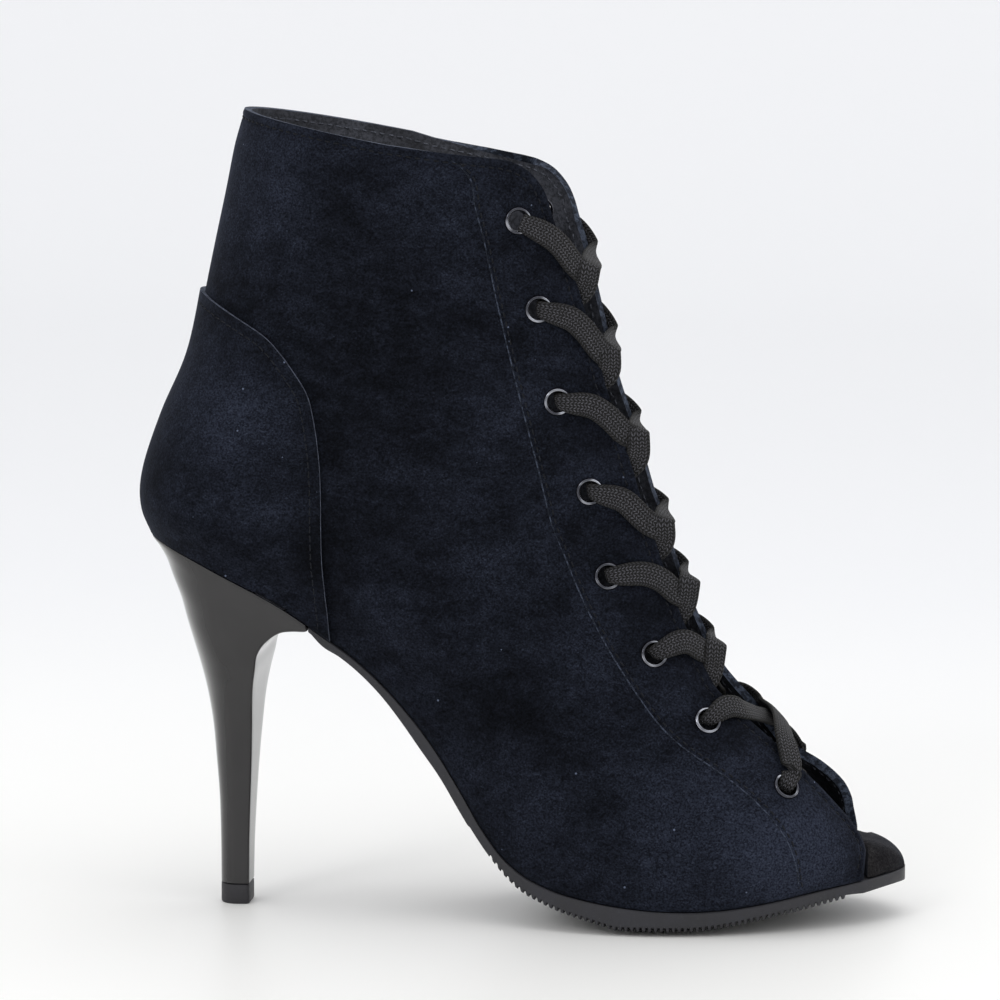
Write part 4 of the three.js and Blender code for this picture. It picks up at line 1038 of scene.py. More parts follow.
def counter_edge(inset):
    """The counter's front edge in the side view, from the feather up, moved back by inset."""
    place = np.arange(len(COUNTER["along"]))
    along = Column(place, COUNTER["along"] * COUNTER_LENGTH)
    up = Column(place, HEEL_HEIGHT + COUNTER["up"] * COUNTER_RISE)
    t = np.linspace(0, place[-1], 113)
    line = np.stack([along(t), up(t)], -1)
    way = unit(np.gradient(line, axis=0))
    return line + np.stack([-way[:, 1], way[:, 0]], -1) * inset


def add_counter(suede, edge):
    def outside(side, s, v, plain):
        return COUNTER_THICKNESS + CLEARANCE + creases(side, plain)

    def inside(side, s, v, plain):
        return np.full(s.shape, 0.02) + creases(side, plain)

    rows = [s for s in UPPER_ROWS if CORNER_ROWS + 1 <= s <= HEEL_SECTION + 2]
    columns = [v for v in UPPER_COLUMNS if v <= CREST_COLUMN + 0.12]
    points, faces, kinds = shell(rows, columns, outside, inside)
    kinds = [0 if kind == 0 else 1 for kind in kinds]
    piece = new_piece("heel_counter_suede", points, faces, [suede, edge], ["heel_counter"],
                      kinds)
    front = counter_edge(0)
    shape = [(-COUNTER_LENGTH, front[0, 1])] + [tuple(p) for p in front] + [(-COUNTER_LENGTH, front[-1, 1])]
    rings = [[(x, y, z) for x, z in shape] for y in (-COLLAR_WIDTH, COLLAR_WIDTH)]
    count = len(shape)
    points = np.array(rings[0] + rings[1], float)
    faces = [(j, (j + 1) % count, (j + 1) % count + count, j + count) for j in range(count)]
    faces += [tuple(reversed(range(count))), tuple(range(count, 2 * count))]
    cut_by(piece, plain_object("counter_cutter", points, faces, [edge, edge]), "INTERSECT")
    piece.data.set_sharp_from_angle(angle=math.radians(40))
    add_nap_and_painted_light(piece)
    return piece


# Heel

HEEL_TURNS = [math.radians(a) for a in steps(1, 90, 26)]
BREAST_CORNER = 0.9
BACK_REACH = 0.55               # the round back takes at most this share of a section's depth
BREAST_SHARE = 0.97             # width at the breast against the widest place
BREAST_PLACES = (0.97, 0.6, 0.2)
LIP_THICKNESS = 1.6             # the heel's front lip ends this thick against the sole


def heel_half(row):
    """Half of a section of the heel, from its round back to the middle of its flat breast."""
    depth = row["front_x"] - row["back_x"]
    reach = min(row["half"], depth * BACK_REACH)
    places = [(row["back_x"] + reach * (1 - math.cos(a)), row["half"] * math.sin(a)) for a in HEEL_TURNS]
    start = row["back_x"] + reach
    end = row["front_x"] - BREAST_CORNER
    wide = row["half"] * BREAST_SHARE
    places += [(lerp(start, end, t), lerp(row["half"], wide, t * t)) for t in steps(0.12, 1, 8)]
    corner = [math.radians(a) for a in steps(15, 75, 4)]
    places += [(end + BREAST_CORNER * math.sin(a), wide - BREAST_CORNER * (1 - math.cos(a))) for a in corner]
    places += [(row["front_x"], (wide - BREAST_CORNER) * t) for t in BREAST_PLACES]
    points = []
    for x, y in places:
        t = (x - row["back_x"]) / depth
        chord = lerp(row["back_z"], row["front_z"], t)
        chord_on_bed = lerp(bed(row["back_x"]), bed(row["front_x"]), t)
        points.append((x, y, float(chord + row["bow"] * (bed(x) - chord_on_bed))))
    return points


def mirrored_ring(half):
    return half + [(x, -y, z) for x, y, z in reversed(half)]


def heel_tip(z, grow=0.0):
    return {"back_x": HEEL_TIP_SETBACK - grow, "front_x": HEEL_TIP_SETBACK + HEEL_TIP_LENGTH + grow,
            "back_z": z, "front_z": z, "half": HEEL_TIP_WIDTH / 2 + grow, "bow": 0}


def add_heel(lacquer):
    tip = heel_tip(TOP_PIECE_HEIGHT + CLEARANCE)
    sizes = {"back_x": HEEL["back"] * FOOT_LENGTH, "front_x": HEEL["front"] * FOOT_LENGTH,
             "back_z": HEEL["back_up"] * HEEL_HEIGHT, "front_z": HEEL["front_up"] * HEEL_HEIGHT,
             "half": HEEL["wide"] * SEAT_WIDTH, "bow": HEEL["bow"]}
    sizes["back_z"][0] = bed(sizes["back_x"][0])
    sizes["front_z"][0] = bed(sizes["front_x"][0])
    lip = {"back_x": sizes["back_x"][0] + 0.2, "front_x": sizes["front_x"][0],
           "back_z": sizes["back_z"][0] - 0.6, "front_z": sizes["front_z"][0] - LIP_THICKNESS,
           "half": sizes["half"][0], "bow": 1}
    sizes = {name: np.insert(values, 1, lip[name]) for name, values in sizes.items()}
    sizes["front_z"][2] -= 0.5
    sizes = {name: np.append(values, tip[name]) for name, values in sizes.items()}
    count = len(sizes["half"])
    curves = {name: Column(range(count), values) for name, values in sizes.items()}
    rings = []
    for t in np.linspace(0, count - 1, 92):
        rings.append(mirrored_ring(heel_half({name: float(curve(t)) for name, curve in curves.items()})))
    points, faces = skin_rings(rings)
    return new_piece("heel_lacquered", points, faces, [lacquer], ["heel"], sharp=50)


def add_top_piece(rubber):
    levels = [(TOP_PIECE_HEIGHT, -0.25), (TOP_PIECE_HEIGHT - 0.25, 0), (0.5, 0), (0.12, -0.12), (0, -0.4)]
    rings = [mirrored_ring(heel_half(heel_tip(z, grow))) for z, grow in levels]
    points, faces = skin_rings(rings)
    return new_piece("heel_tip_rubber", points, faces, [rubber], ["heel_top_piece"], sharp=50)


# Outsole

under_places = UNDER["along"] * FOOT_LENGTH
under_curve = Column(under_places, UNDER["rise"] * HEEL_HEIGHT + UNDER["spring"] * TOE_SPRING)
lift_curve = Column(under_places, UNDER["lift"] * SOLE_EDGE_LIFT)
SOLE_START = 0.235 * FOOT_LENGTH
STEP_PLACE = 0.445 * FOOT_LENGTH
WAIST_BLEND = 0.1 * FOOT_LENGTH
TREAD_START = 0.468 * FOOT_LENGTH
TREAD_END = 0.925 * FOOT_LENGTH
TREAD_PITCH = 1.6
TREAD_DEPTH = 0.9
TOOTH = ((0.0, 0.0), (0.38, 0.0), (0.56, 1.0), (0.82, 1.0))     # share of the pitch, share of the depth
SOLE_BEVEL_IN = 0.35            # the top edge is broken by this much inwards
SOLE_BEVEL_DOWN = 0.3           # and by this much downwards
SOLE_ENDS = (0.95, 0.965, 0.978, 0.988, 0.995, 0.9985, 0.9998)
# Across half of the underside: share of the half width, share of the edge lift and rise of the rounded edge
SOLE_ACROSS = ((1.00, 1.0, 1.3), (0.997, 1.0, 0.6), (0.985, 0.97, 0.2), (0.965, 0.9, 0.0), (0.9, 0.7, 0.0),
               (0.82, 0.45, 0.0), (0.7, 0.18, 0.0), (0.58, 0.0, 0.0), (0.3, 0.0, 0.0))


def under(x):
    if FLAT_START <= x <= FLAT_END:
        return 0.0
    before = STEP_PLACE - WAIST_BLEND < x < STEP_PLACE
    share = 1 - (STEP_PLACE - x) / WAIST_BLEND if before else 0
    return max(float(under_curve(x)), 0.0) - WAIST_STEP * share


def tread_stations():
    """Stations along the tread, with how deep the groove is at each."""
    stations = []
    x = TREAD_START
    while x < TREAD_END:
        stations += [(x + TREAD_PITCH * share, deep) for share, deep in TOOTH]
        x += TREAD_PITCH
    return stations


def add_outsole(rubber):
    stations = [(x, 0.0) for x in steps(SOLE_START, STEP_PLACE, 60)] + [(STEP_PLACE + 0.15, 0.0)]
    stations += [(x, 0.0) for x in steps(STEP_PLACE + 0.6, TREAD_START - 0.3, 6)]
    stations += tread_stations()
    end = stations[-1][0]
    stations += [(share * FOOT_LENGTH, 0.0) for share in SOLE_ENDS if share * FOOT_LENGTH > end + 0.3]
    rings = []
    for x, groove in stations:
        left = float(outline(x, 1)) + SOLE_MARGIN
        right = float(outline(x, -1)) - SOLE_MARGIN
        centre, half = (left + right) / 2, (left - right) / 2
        top = float(bed(x))
        floor = under(x)
        lift = float(lift_curve(x))
        high = max(top - floor - lift - 1.5, 0.4)
        low = [(centre, half * out, floor + lift * up + min(edge, high) + groove * TREAD_DEPTH * (edge < 1))
               for out, up, edge in SOLE_ACROSS]
        inner = half - SOLE_BEVEL_IN
        ring = [(x, centre - inner, top), (x, centre - half, top - SOLE_BEVEL_DOWN)]
        ring += [(x, middle - out, z) for middle, out, z in low]
        ring += [(x, middle + out, z) for middle, out, z in reversed(low)]
        ring += [(x, centre + half, top - SOLE_BEVEL_DOWN), (x, centre + inner, top)]
        rings.append(ring)
    points, faces = skin_rings(rings)
    return new_piece("outsole_rubber", points, faces, [rubber], ["outsole"], sharp=28)


# Insole

FLAP_END = 0.951 * FOOT_LENGTH
PAD_START = 0.80 * FOOT_LENGTH
INSOLE_START = HEEL_BACK + UPPER_WALL + CLEARANCE * 2
PAD_TIP = 0.999 * FOOT_LENGTH
PAD_NOSE = 19.5                 # length of the pad's round front
NOSE_POWER = 2.05               # 2 is an ellipse, more is fuller
PAD_LEAN = 0.85                 # the pad's sides lean in by this much of its extra height
SOCK_HEEL = (0, 0.4, 1, 2, 3.5, 5.5, 8, 11, 15)     # stations behind the heel's round end
SOCK_SOFT, PAD_SOFT = 0.3, 0.75     # share of the half width over which the top rounds down to the sides
SOCK_RIM, PAD_RIM = 0.4, 0.12       # share of the height at which that round starts


def insole_top(x):
    return float(lerp(INSOLE_THICKNESS, TOE_PAD_THICKNESS, smooth((x - PAD_START) / (FLAP_END - PAD_START))))


def insole_half(x, side):
    if x < 0.1 * FOOT_LENGTH:
        radius = SEAT_RADIUS - UPPER_WALL
        return float((radius - CLEARANCE * 2) * round_end(x - INSOLE_START, radius))
    lean_in = (insole_top(x) - INSOLE_THICKNESS) * PAD_LEAN
    behind = UPPER_WALL + CLEARANCE * 2 + lean_in
    free = smooth((x - FLAP_END + 1) / 2)
    return max(float(side * outline(x, side) - lerp(behind, CLEARANCE + 0.4, free)), 0.4)


def pad_height(x):
    """The pad's height over the bed: full up to its round nose."""
    nose = max(1 - (PAD_TIP - x) / PAD_NOSE, 0.0)
    return insole_top(x) * max((1 - nose ** NOSE_POWER) ** (1 / NOSE_POWER), 0.05)


def add_insole(suede):
    heel = [INSOLE_START + 0.4 + d for d in SOCK_HEEL]
    nose = [PAD_TIP - PAD_NOSE * (1 - math.sin(math.radians(a))) for a in steps(0, 90, 26)]
    along = heel + steps(0.13 * FOOT_LENGTH, PAD_TIP - PAD_NOSE - 0.4, 76) + nose
    rings = []
    for x in along:
        low = float(bed(x)) + CLEARANCE
        high = pad_height(x)
        ring = []
        for side in (1, -1):
            wide = insole_half(x, side)
            free = float(smooth((x - FLAP_END + 6) / 8))
            soft = wide * lerp(SOCK_SOFT, PAD_SOFT, free)
            start = lerp(SOCK_RIM, PAD_RIM, free)
            arc = [math.radians(a) for a in steps(0, 90, 9)]
            half = [(wide - 0.2, low)]
            half += [(wide - soft * (1 - math.cos(a)), low + high * lerp(start, 1, math.sin(a))) for a in arc]
            half += [((wide - soft) * t, low + high) for t in (0.66, 0.33)]
            place = [(x, side * y, z) for y, z in half]
            ring += place if side > 0 else list(reversed(place))
        rings.append(ring)
    points, faces = skin_rings(rings)
    piece = new_piece("insole_and_toe_pad", points, faces, [suede], ["insole"], sharp=60)
    add_nap_and_painted_light(piece)
    return piece


# Eyelets

def add_eyelets(metal):
    middle = (BARREL_RADIUS - BARREL_WALL + EYELET_FLANGE / 2) / 2
    reach = EYELET_FLANGE / 2 - middle
    base = CLEARANCE + 0.1
    roll = [(middle - reach * math.cos(a), base + EYELET_RISE * math.sin(a))
            for a in [math.radians(x) for x in steps(0, 180, 12)]]
    splay = [(BARREL_RADIUS + 0.3, -UPPER_WALL - 0.04), (BARREL_RADIUS + 0.25, -UPPER_WALL - 0.15),
             (BARREL_RADIUS, -UPPER_WALL - 0.2)]
    profile = [(EYELET_HOLE / 2, -UPPER_WALL - 0.15)] + roll
    profile += [(EYELET_FLANGE / 2 - 0.15, base - 0.12), (BARREL_RADIUS, base - 0.15),
                (BARREL_RADIUS, -UPPER_WALL - 0.02)] + splay
    for side, word in ((-1, "outer"), (1, "inner")):
        for number, place in enumerate(PLACES[side], 1):
            rings = seat_at(side, place, profile, 40)
            points, faces = skin_rings(rings, closed=True)
            faces = [tuple(reversed(face)) for face in faces]
            new_piece(f"eyelet_{word}_{number}_rolled", points, faces, [metal],
                      [f"eyelet_{word}_{number}"], sharp=60)


# Lace

LACE_OVER = CLEARANCE + 0.35 + LACE_THICKNESS / 2
LACE_UNDER = UPPER_WALL + CLEARANCE + LACE_THICKNESS / 2
HOLE_WIDTH = 4.7                # the lace bunches up in a hole to this width and thickness
HOLE_THICKNESS = 2.3
HOLE_MOUTH = 0.2                # the lace's middle stands this far out of the leather at a hole's ends
HOLE_REACH = 4.2                # it lies flat on the leather this far from the hole
HOLE_LEAN = 0.7                 # how far its face leans over where it comes out


def stop(point, face, width=LACE_WIDTH, thickness=LACE_THICKNESS):
    return np.concatenate([point, unit(face), [width, thickness]])


def flap_way(side, s, v):
    """Surface point, its normal and the way over the surface towards the throat."""
    point = surface_point(side, s, v)
    return point, surface_normal(side, s, v), unit(point - surface_point(side, s, v - 0.03))


def flap_stop(side, s, v, lift, past, sign):
    """A stop over the flap, or under it where the lift is negative, moved past its edge."""
    point, normal, forward = flap_way(side, s, v)
    return stop(point + normal * lift + forward * past, normal * sign)


# How the lace crosses, as shares of the way from one pair of eyelets down to the next. A strand from the outer
# flap arches over it, bends and leaves its edge, then lies under the other flap. A strand from the inner flap
# lies on top: it leaves that flap, hangs forward in a slack loop and dives under the outer flap.
LACING = table(
    "arch knee edge leave loop dive hang",
    (0.18, 0.34, 0.52, 0.52, 0.58, 0.81, 1.00),
    (0.08, 0.24, 0.38, 0.38, 0.40, 0.66, 0.75),
    (0.06, 0.25, 0.40, 0.44, 0.43, 0.76, 0.95),
    (0.12, 0.38, 0.52, 0.56, 0.51, 0.80, 0.78),
    (0.07, 0.22, 0.38, 0.35, 0.28, 0.61, 1.10),
    (-0.02, 0.02, 0.16, 0.26, 0.17, 0.55, 1.10),
    (0.01, 0.04, 0.14, 0.42, 0.44, 0.68, 1.00))
ARCH_BACK = 0.4                 # the arch lies this share of the eyelet's setback behind the edge
ARCH_HIGH = 0.6                 # heights here are over a lace that lies flat
KNEE_BACK = 1.6
KNEE_HIGH = 0.4
TOP_ARCH = 0.3                  # the strand on top arches and bends these shares before it leaves its flap
TOP_KNEE = 0.14
TOP_EDGE = (0.3, 0.2)           # how far a strand sinks at its flap's edge, and how far past the edge it lies
LOW_EDGE = (0.1, 0.5)

# The slack loop of the strand on top, and its dive under the outer flap
LOOP_LIFT = 2.5
LOOP_PAST = 4.3
LOOP_WIDTH = LACE_WIDTH - 0.5
LOOP_MIDDLE = 0.55
LOOP_RISE = 0.4
DIVE_SINK = 0.9
DIVE_PAST = 1.9
DIVE_ON = 0.1
DIVE_BACK = 3.8
RAISED = np.array([0.0, 0.0, 0.9])
TO_OUTSIDE = np.array([0.0, -1.0, 0.0])

# The other strand dips from its edge under the strand on top and lands under the inner flap
DIP_ON = 0.1
DIP_SINK = 1.2
DIP_PAST = 4.5
LAND_SHARE = 0.82
LAND_BACK = 4.5
LAND_DEEPER = 0.3
UNDER_SINK = 0.5

# The last crossing lies over both flaps, with the strand on top higher over the middle and the far edge
LAST_PAST = 1.8
LAST_MIDDLE = 0.46
LAST_HIGH = (2.1, 0.8)
LAST_LOW = (0.2, 0.2)
LAST_SHARE = 0.93
LAST_BACK = 0.45


def crossing_stops(side, index, sign):
    """A strand over its own flap and across the gap, then under the other flap, or over both at the last."""
    on_top = side > 0
    shares = {name: float(LACING[name][index]) for name in LACING}
    s_from, s_to = PLACES[side][index][0], PLACES[-side][index + 1][0]
    setback = EYELETS["back"][index] * EYELET_SETBACK

    def on_flap(which, share, behind, lift, past=0.0):
        s = lerp(s_from, s_to, share)
        return flap_stop(which, s, column_behind(which, s, behind), lift, past, sign)

    leave = shares["leave"] if on_top else shares["edge"]
    sink, past = TOP_EDGE if on_top else LOW_EDGE
    arch = on_flap(side, leave - TOP_ARCH if on_top else shares["arch"], setback * ARCH_BACK,
                   LACE_OVER + ARCH_HIGH)
    knee = on_flap(side, leave - TOP_KNEE if on_top else shares["knee"], KNEE_BACK, LACE_OVER + KNEE_HIGH)
    edge = on_flap(side, leave, 0, LACE_OVER - sink, past)
    if index == EYELET_COUNT - 2:
        high_middle, high_edge = LAST_HIGH if on_top else LAST_LOW
        over = on_flap(-side, shares["dive"], 0, LACE_OVER + high_edge, LAST_PAST)
        up = unit(edge[3:6] * sign + over[3:6] * sign)
        centre = stop(lerp(edge[:3], over[:3], LAST_MIDDLE) + up * high_middle, up * sign)
        return [arch, knee, edge, centre, over,
                on_flap(-side, LAST_SHARE, setback * LAST_BACK, LACE_OVER + 0.1)]
    if on_top:
        loop = on_flap(-side, shares["loop"], 0, LOOP_LIFT * shares["hang"], LOOP_PAST * shares["hang"])
        normal = loop[3:6] * sign
        up = unit(edge[3:6] * sign + normal)
        centre = stop(lerp(edge[:3], loop[:3], LOOP_MIDDLE) + up * LOOP_RISE, unit(up + RAISED) * sign)
        loop[3:6] = unit(normal + RAISED * 0.7 + TO_OUTSIDE * 0.6) * sign
        loop[6] = LOOP_WIDTH
        dive = on_flap(-side, shares["dive"], 0, -DIVE_SINK, DIVE_PAST)
        return [arch, knee, edge, centre, loop, dive,
                on_flap(-side, shares["dive"] + DIVE_ON, DIVE_BACK, -LACE_UNDER)]
    dip = on_flap(side, shares["edge"] + DIP_ON, 0, -DIP_SINK, DIP_PAST)
    land = on_flap(-side, LAND_SHARE, LAND_BACK, -LACE_UNDER - LAND_DEEPER)
    up = unit(dip[3:6] * sign + land[3:6] * sign)
    centre = stop(lerp(dip[:3], land[:3], 0.5) - up * UNDER_SINK, up * sign)
    return [arch, knee, edge, dip, centre, land]


def hole_stops(side, index, arrive, leave, sign):
    """Up through an eyelet: arrive and leave are the lace's directions before and after it."""
    point, normal = flap_way(side, *PLACES[side][index])[:2]
    turned = unit(leave - arrive)
    shift = leave * 0.55
    return [
        stop(point - normal * (LACE_UNDER - HOLE_MOUTH) - arrive * HOLE_REACH, -normal * sign),
        stop(point - normal * (UPPER_WALL + HOLE_MOUTH) - arrive * 0.3, -unit(normal + turned) * sign,
             HOLE_WIDTH, HOLE_THICKNESS),
        stop(point + normal * HOLE_MOUTH + shift, -turned * sign, HOLE_WIDTH, HOLE_THICKNESS),
        stop(point + normal * 1.75 + leave * 2.2, unit(normal - turned * HOLE_LEAN) * sign,
             HOLE_WIDTH + 0.5, 2.0),
        stop(point + normal * (LACE_OVER + HOLE_MOUTH) + leave * HOLE_REACH, normal * sign,
             LACE_WIDTH - 0.6)]


def lace_strand(start_side):
    """Stops of one strand, from inside its top eyelet to inside the lowest one."""
    stops = []
    side, sign = start_side, 1
    for index in range(EYELET_COUNT):
        point, normal, forward = flap_way(side, *PLACES[side][index])
        if index == EYELET_COUNT - 1:
            arrive = unit(point - stops[-1][:3])
            arrive = unit(arrive - normal * (arrive @ normal))
            stops += [
                stop(point + normal * (LACE_OVER + 0.1) - arrive * 4.4, normal * sign, LACE_WIDTH - 1.0),
                stop(point + normal * 1.2 - arrive * 1.3, unit(normal + arrive) * sign, HOLE_WIDTH, 2.0),
                stop(point - normal * 0.5, arrive * sign, HOLE_WIDTH, HOLE_THICKNESS),
                stop(point - normal * (UPPER_WALL + 1.0) + forward * 1.5, -normal * sign, HOLE_WIDTH, 2.0),
                flap_stop(side, PLACES[side][index][0], 1, -LACE_UNDER - 1.0, -3, -sign)]
            return stops
        crossing = crossing_stops(side, index, sign)
        leave = crossing[0][:3] - point
        leave = unit(leave - normal * (leave @ normal))
        if stops:
            arrive = point - stops[-1][:3]
            arrive = unit(arrive - normal * (arrive @ normal))
        else:
            arrive = -forward
        hole = hole_stops(side, index, arrive, leave, sign)
        stops += (hole if stops else hole[2:]) + crossing
        side, sign = -side, -sign


def spline(stops, spacing):
    """A centripetal curve through the stops, sampled about every spacing millimetres."""
    stops = np.array(stops)
    stops = np.concatenate([[2 * stops[0] - stops[1]], stops, [2 * stops[-1] - stops[-2]]])
    knots = np.concatenate([[0], np.cumsum(np.sqrt(np.linalg.norm(np.diff(stops[:, :3], axis=0), axis=1)))])
    result = []
    for i in range(1, len(stops) - 2):
        p = stops[i - 1:i + 3]
        k = knots[i - 1:i + 3]
        count = max(int(np.linalg.norm(p[2, :3] - p[1, :3]) / spacing), 2)
        for t in np.linspace(k[1], k[2], count, endpoint=False):
            a1 = lerp(p[0], p[1], (t - k[0]) / (k[1] - k[0]))
            a2 = lerp(p[1], p[2], (t - k[1]) / (k[2] - k[1]))
            a3 = lerp(p[2], p[3], (t - k[2]) / (k[3] - k[2]))
            b1 = lerp(a1, a2, (t - k[0]) / (k[2] - k[0]))
            b2 = lerp(a2, a3, (t - k[1]) / (k[3] - k[1]))
            result.append(lerp(b1, b2, (t - k[1]) / (k[2] - k[1])))
    result.append(stops[-2])
    return np.array(result)


LACE_SIDES = 20
LACE_SPACING = 0.7              # between the rings of the lace's mesh
LACE_EASE = 3                   # rings to each side that a bend is evened over


def lace_section():
    """Around the flat lace: share of its half width and of its half thickness, with round edges."""
    angles = np.arange(LACE_SIDES) * 2 * math.pi / LACE_SIDES
    flat = np.sign(np.cos(angles)) * np.abs(np.cos(angles)) ** 0.7
    thick = np.sign(np.sin(angles)) * np.abs(np.sin(angles)) ** 0.8
    return flat, thick


def evened(rows):
    """Each row averaged with its neighbours, so that the flat lace bends and twists gently."""
    count = 2 * LACE_EASE + 1
    padded = np.pad(rows, ((LACE_EASE, LACE_EASE), (0, 0)), mode="edge")
    return sum(padded[i:i + len(rows)] for i in range(count)) / count


def add_lace(braid):
    """The whole lace: down one strand to the lowest eyelet, and back up the other."""
    first = lace_strand(-1)
    second = lace_strand(1)
    second = [row.copy() for row in reversed(second)]
    if first[-1][3:6] @ second[0][3:6] < 0:
        for row in second:
            row[3:6] *= -1
    path = evened(spline(first + second, LACE_SPACING))
    tangent = unit(np.gradient(path[:, :3], axis=0))
    across = unit(evened(unit(np.cross(path[:, 3:6], tangent))))
    across = unit(across - tangent * np.sum(across * tangent, axis=1)[:, None])
    face = np.cross(tangent, across)
    flat, thick = lace_section()
    rings = [path[i, :3] + np.outer(flat, across[i]) * path[i, 6] / 2
             + np.outer(thick, face[i]) * path[i, 7] / 2 for i in range(len(path))]
    points, faces = skin_rings(rings)
    nodes = [f"lace_crossing_{i}" for i in range(1, EYELET_COUNT)]
    piece = new_piece("lace_flat_braid", points, faces, [braid], nodes, sharp=80)
    travelled = np.concatenate([[0], np.cumsum(np.linalg.norm(np.diff(path[:, :3], axis=0), axis=1))])
    layer = piece.data.uv_layers.new(name="braid")
    values = np.zeros((len(piece.data.loops), 2))
    corners = np.empty(len(piece.data.loops), int)
    piece.data.loops.foreach_get("vertex_index", corners)
    values[:, 0] = (flat[corners % LACE_SIDES] + 1) / 2
    values[:, 1] = travelled[corners // LACE_SIDES]
    layer.data.foreach_set("uv", values.ravel())
    return piece


# Stitching

THREAD = 0.5
STITCH_PITCH = 2.5
STITCH_SHARE = 0.74
STITCH_TILT = 0.09
# Along a stitch: its share, its size against the thread and its height over the leather
STITCH_SHAPE = ((0, 0.35, -0.32), (0.14, 0.85, -0.02), (0.5, 1.0, 0.12), (0.86, 0.85, -0.02), (1, 0.35, -0.32))
FACING_ROW = 1.1                # the facing's row runs this far inside its edge
COUNTER_ROW = 2.9
STITCH_SIDES = 6


def stitches_along(points, normals, pitch, rng):
    """Rings of each stitch of a row: a short thread that dips into the leather at both ends."""
    travelled = np.concatenate([[0], np.cumsum(np.linalg.norm(np.diff(points, axis=0), axis=1))])
    groups = []
    place = pitch * 0.5
    angles = np.arange(STITCH_SIDES) * 2 * math.pi / STITCH_SIDES
    while place + pitch < travelled[-1]:
        length = pitch * STITCH_SHARE
        rings = []
        tilt = rng.uniform(-STITCH_TILT, STITCH_TILT)
        for t, size, lift in STITCH_SHAPE:
            at = place + length * t
            centre = np.array([np.interp(at, travelled, points[:, k]) for k in range(3)])
            normal = unit(np.array([np.interp(at, travelled, normals[:, k]) for k in range(3)]))
            ahead = np.array([np.interp(at + 0.3, travelled, points[:, k]) for k in range(3)])
            along = unit(ahead - centre)
            across = unit(np.cross(normal, along))
            radius = THREAD / 2 * size
            middle = centre + normal * lift + across * tilt * (t - 0.5) * pitch
            circle = np.outer(np.cos(angles), across) + np.outer(np.sin(angles), normal) * 0.8
            rings.append(middle + circle * radius)
        groups.append(rings)
        place += pitch
    return groups


COLLAR_END = 0.86               # column where the edge's row leaves the collar and turns down the throat


def edge_row_places(side):
    """Sections and columns of the row that follows the cut edges, from the back seam to the sole at the toe."""
    rows = np.array(UPPER_ROWS)
    places = []
    for v in steps(-1, COLLAR_END, 120):
        s = np.linspace(0, 4, 80)
        distance = edge_distance(side, surface_point(side, s, v))
        places.append((float(np.interp(EDGE_ROW, distance, s)), v))
    start = places[-1][0]
    for s in np.linspace(start, LAST_SECTION - 0.6, 420)[1:]:
        v = np.linspace(1, 0.6, 60)
        distance = edge_distance(side, surface_point(side, s, v))
        if distance.max() > EDGE_ROW:
            places.append((float(s), float(v[np.argmax(distance > EDGE_ROW)])))
    for v in np.linspace(places[-1][1], 0.06, 60)[1:]:
        s = np.linspace(rows[-1], rows[-1] - 2, 60)
        distance = edge_distance(side, surface_point(side, s, v))
        if distance.max() > EDGE_ROW:
            places.append((float(s[np.argmax(distance > EDGE_ROW)]), float(v)))
    return np.array(places)


def facing_row_places(side, inset):
    """A row beside the facing's back edge; inset is towards the throat."""
    s = np.linspace(1.6, LAST_SECTION - 0.5, 260)
    places = np.array([(a, column_behind(side, a, float(facing_setback(a)) - inset)) for a in s])
    return places[places[:, 1] > 0.06]


def counter_row(side, tree):
    """The row inside the counter's front edge, found on the counter itself."""
    points, normals = [], []
    for x, z in counter_edge(COUNTER_ROW):
        start = Vector(to_frame([x, side * COLLAR_WIDTH, z]))
        hit, normal, _, _ = tree.ray_cast(start, Vector((0, -side, 0)))
        if hit is not None:
            points.append(np.array(hit) * 1000 - SHIFT)
            normals.append(np.array(normal))
    return np.array(points), np.array(normals)


def add_stitching(thread, lining_thread, counter):
    """All rows of stitches. The edge's row shows inside too, on the lining."""
    rng = random.Random(7)
    rows = {"edge": [], "facing": [], "counter": [], "lining": []}
    counter_tree = BVHTree.FromPolygons(
        [vertex.co for vertex in counter.data.vertices], [face.vertices for face in counter.data.polygons])
    for side in (-1, 1):
        places = edge_row_places(side)
        points, normals = skin_point(side, places[:, 0], places[:, 1], 0.08)
        rows["edge"] += stitches_along(points, normals, STITCH_PITCH, rng)
        inner = surface_point(side, places[:, 0], places[:, 1])
        inward = -surface_normal(side, places[:, 0], places[:, 1])
        rows["lining"] += stitches_along(inner + inward * (UPPER_WALL + 0.05), inward, STITCH_PITCH, rng)
        places = facing_row_places(side, FACING_ROW)
        points, normals = skin_point(side, places[:, 0], places[:, 1], 0.0)
        rows["facing"] += stitches_along(points, normals, STITCH_PITCH, rng)
        points, normals = counter_row(side, counter_tree)
        rows["counter"] += stitches_along(points + normals * 0.02, normals, STITCH_PITCH, rng)
    for name, groups in rows.items():
        points, faces = joined_rings(groups, False)
        chosen = lining_thread if name == "lining" else thread
        new_piece(f"stitches_{name}", points, faces, [chosen], sharp=80)


BEAD_HALF = 0.2
BEAD_HEIGHT = 0.12


def add_facing_edges(edge):
    """The facing's folded back edge, as a low bead along its step."""
    turns = np.radians(np.arange(8) * 45.0)
    groups = []
    for side in (-1, 1):
        places = facing_row_places(side, 0.0)
        points, normals = skin_point(side, places[:, 0], places[:, 1], 0.0)
        along = unit(np.gradient(points, axis=0))
        across = unit(np.cross(normals, along))
        groups.append([points[i] + np.outer(np.cos(turns), across[i]) * BEAD_HALF
                       + np.outer(np.sin(turns), normals[i]) * BEAD_HEIGHT for i in range(len(points))])
    points, faces = joined_rings(groups, False)
    new_piece("facing_cut_edge", points, faces, [edge], sharp=80)


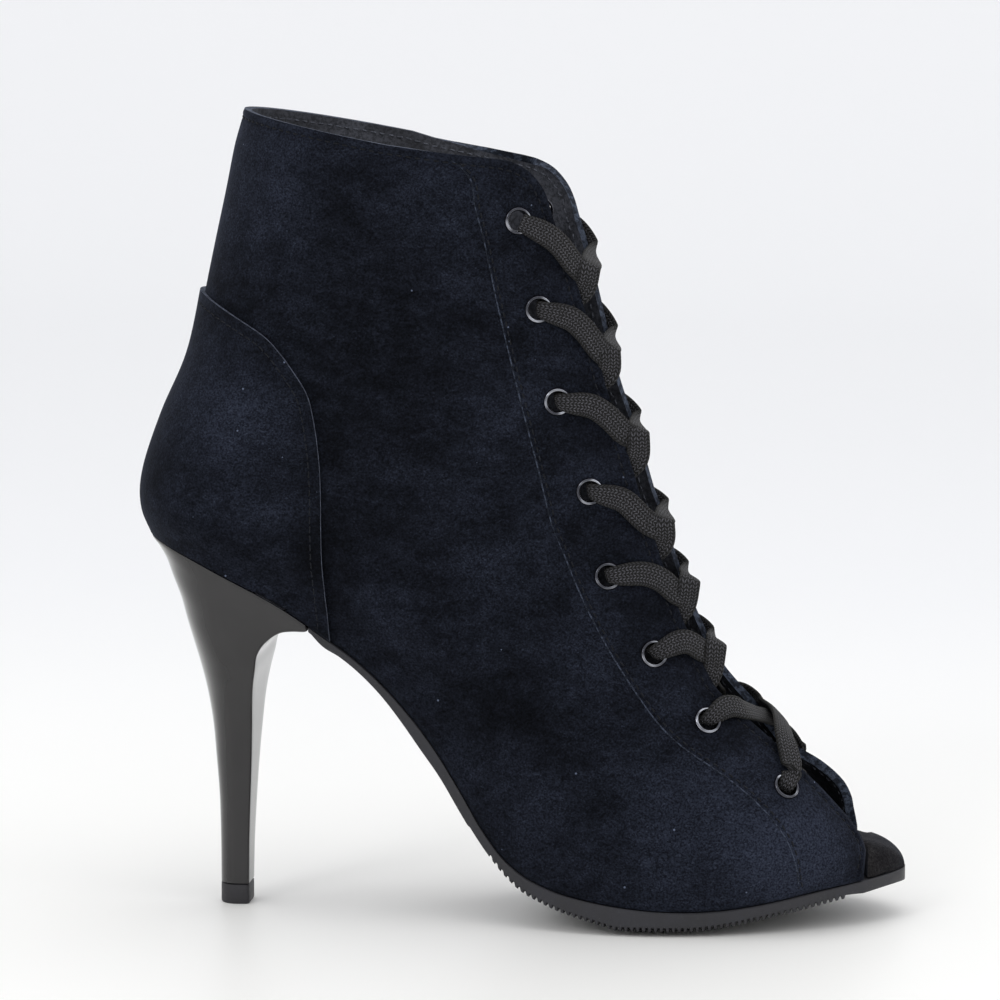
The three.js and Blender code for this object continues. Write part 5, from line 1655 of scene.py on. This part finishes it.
def add_floor(material):
    """A level table that goes over a round bend into an upright backdrop behind the boot."""
    front, bend, radius, top, half = -4.0, 1.6, 1.4, 4.0, 5.0
    profile = [(front, 0.0)] + [(bend + radius * math.sin(a), radius * (1 - math.cos(a)))
                                for a in [math.radians(x) for x in steps(0, 90, 24)]] + [(bend + radius, top)]
    points = [(x, y, z) for x in (-half, half) for y, z in profile]
    count = len(profile)
    faces = [(i, i + count, i + count + 1, i + 1) for i in range(count - 1)]
    mesh = bpy.data.meshes.new("table_and_backdrop")
    mesh.from_pydata(points, [], faces)
    mesh.materials.append(material)
    mesh.polygons.foreach_set("use_smooth", [True] * len(mesh.polygons))
    floor = bpy.data.objects.new("table_and_backdrop", mesh)
    bpy.context.scene.collection.objects.link(floor)


add_camera()
add_light()
add_floor(painted_floor())

upper_suede = brushed_suede("brushed_calf_suede", colour(0x090B10), colour(0x2F3442), colour(0x474E5E), True)
insole_suede = brushed_suede("brushed_insole_suede", colour(0x171617), colour(0x464444), colour(0x565454),
                             False)
# The cut edge in two copies: a darker one for the upper, painted shade where its far edges lie in shade, and a
# lighter one for the counter, painted light on its lit edge
cut_edge = cut_suede_edge("cut_suede_edge", 0x10131A, 0x424957)
lit_counter_edge = cut_suede_edge("lit_suede_edge", 0x12151C, 0x575E6E)
facing_edge = cut_suede_edge("folded_suede_edge", 0x0E1117, 0x3F4655)
tread_rubber = moulded_rubber("moulded_sole_rubber", 0x232327, 0x2C2C31)
tip_rubber = moulded_rubber("moulded_tip_rubber", 0x201F22, 0x29282C)

add_upper(upper_suede, dyed_lining(), cut_edge)
counter_piece = add_counter(upper_suede, lit_counter_edge)
add_heel(lacquered_heel())
add_top_piece(tip_rubber)
add_outsole(tread_rubber)
add_insole(insole_suede)
add_eyelets(gunmetal_plating())
add_lace(flat_braid())
add_facing_edges(facing_edge)
add_stitching(bonded_thread("bonded_nylon_thread", 0x08090D, 0x171A22),
              bonded_thread("grey_nylon_thread", 0x3A3C43, 0x5C5F68), counter_piece)
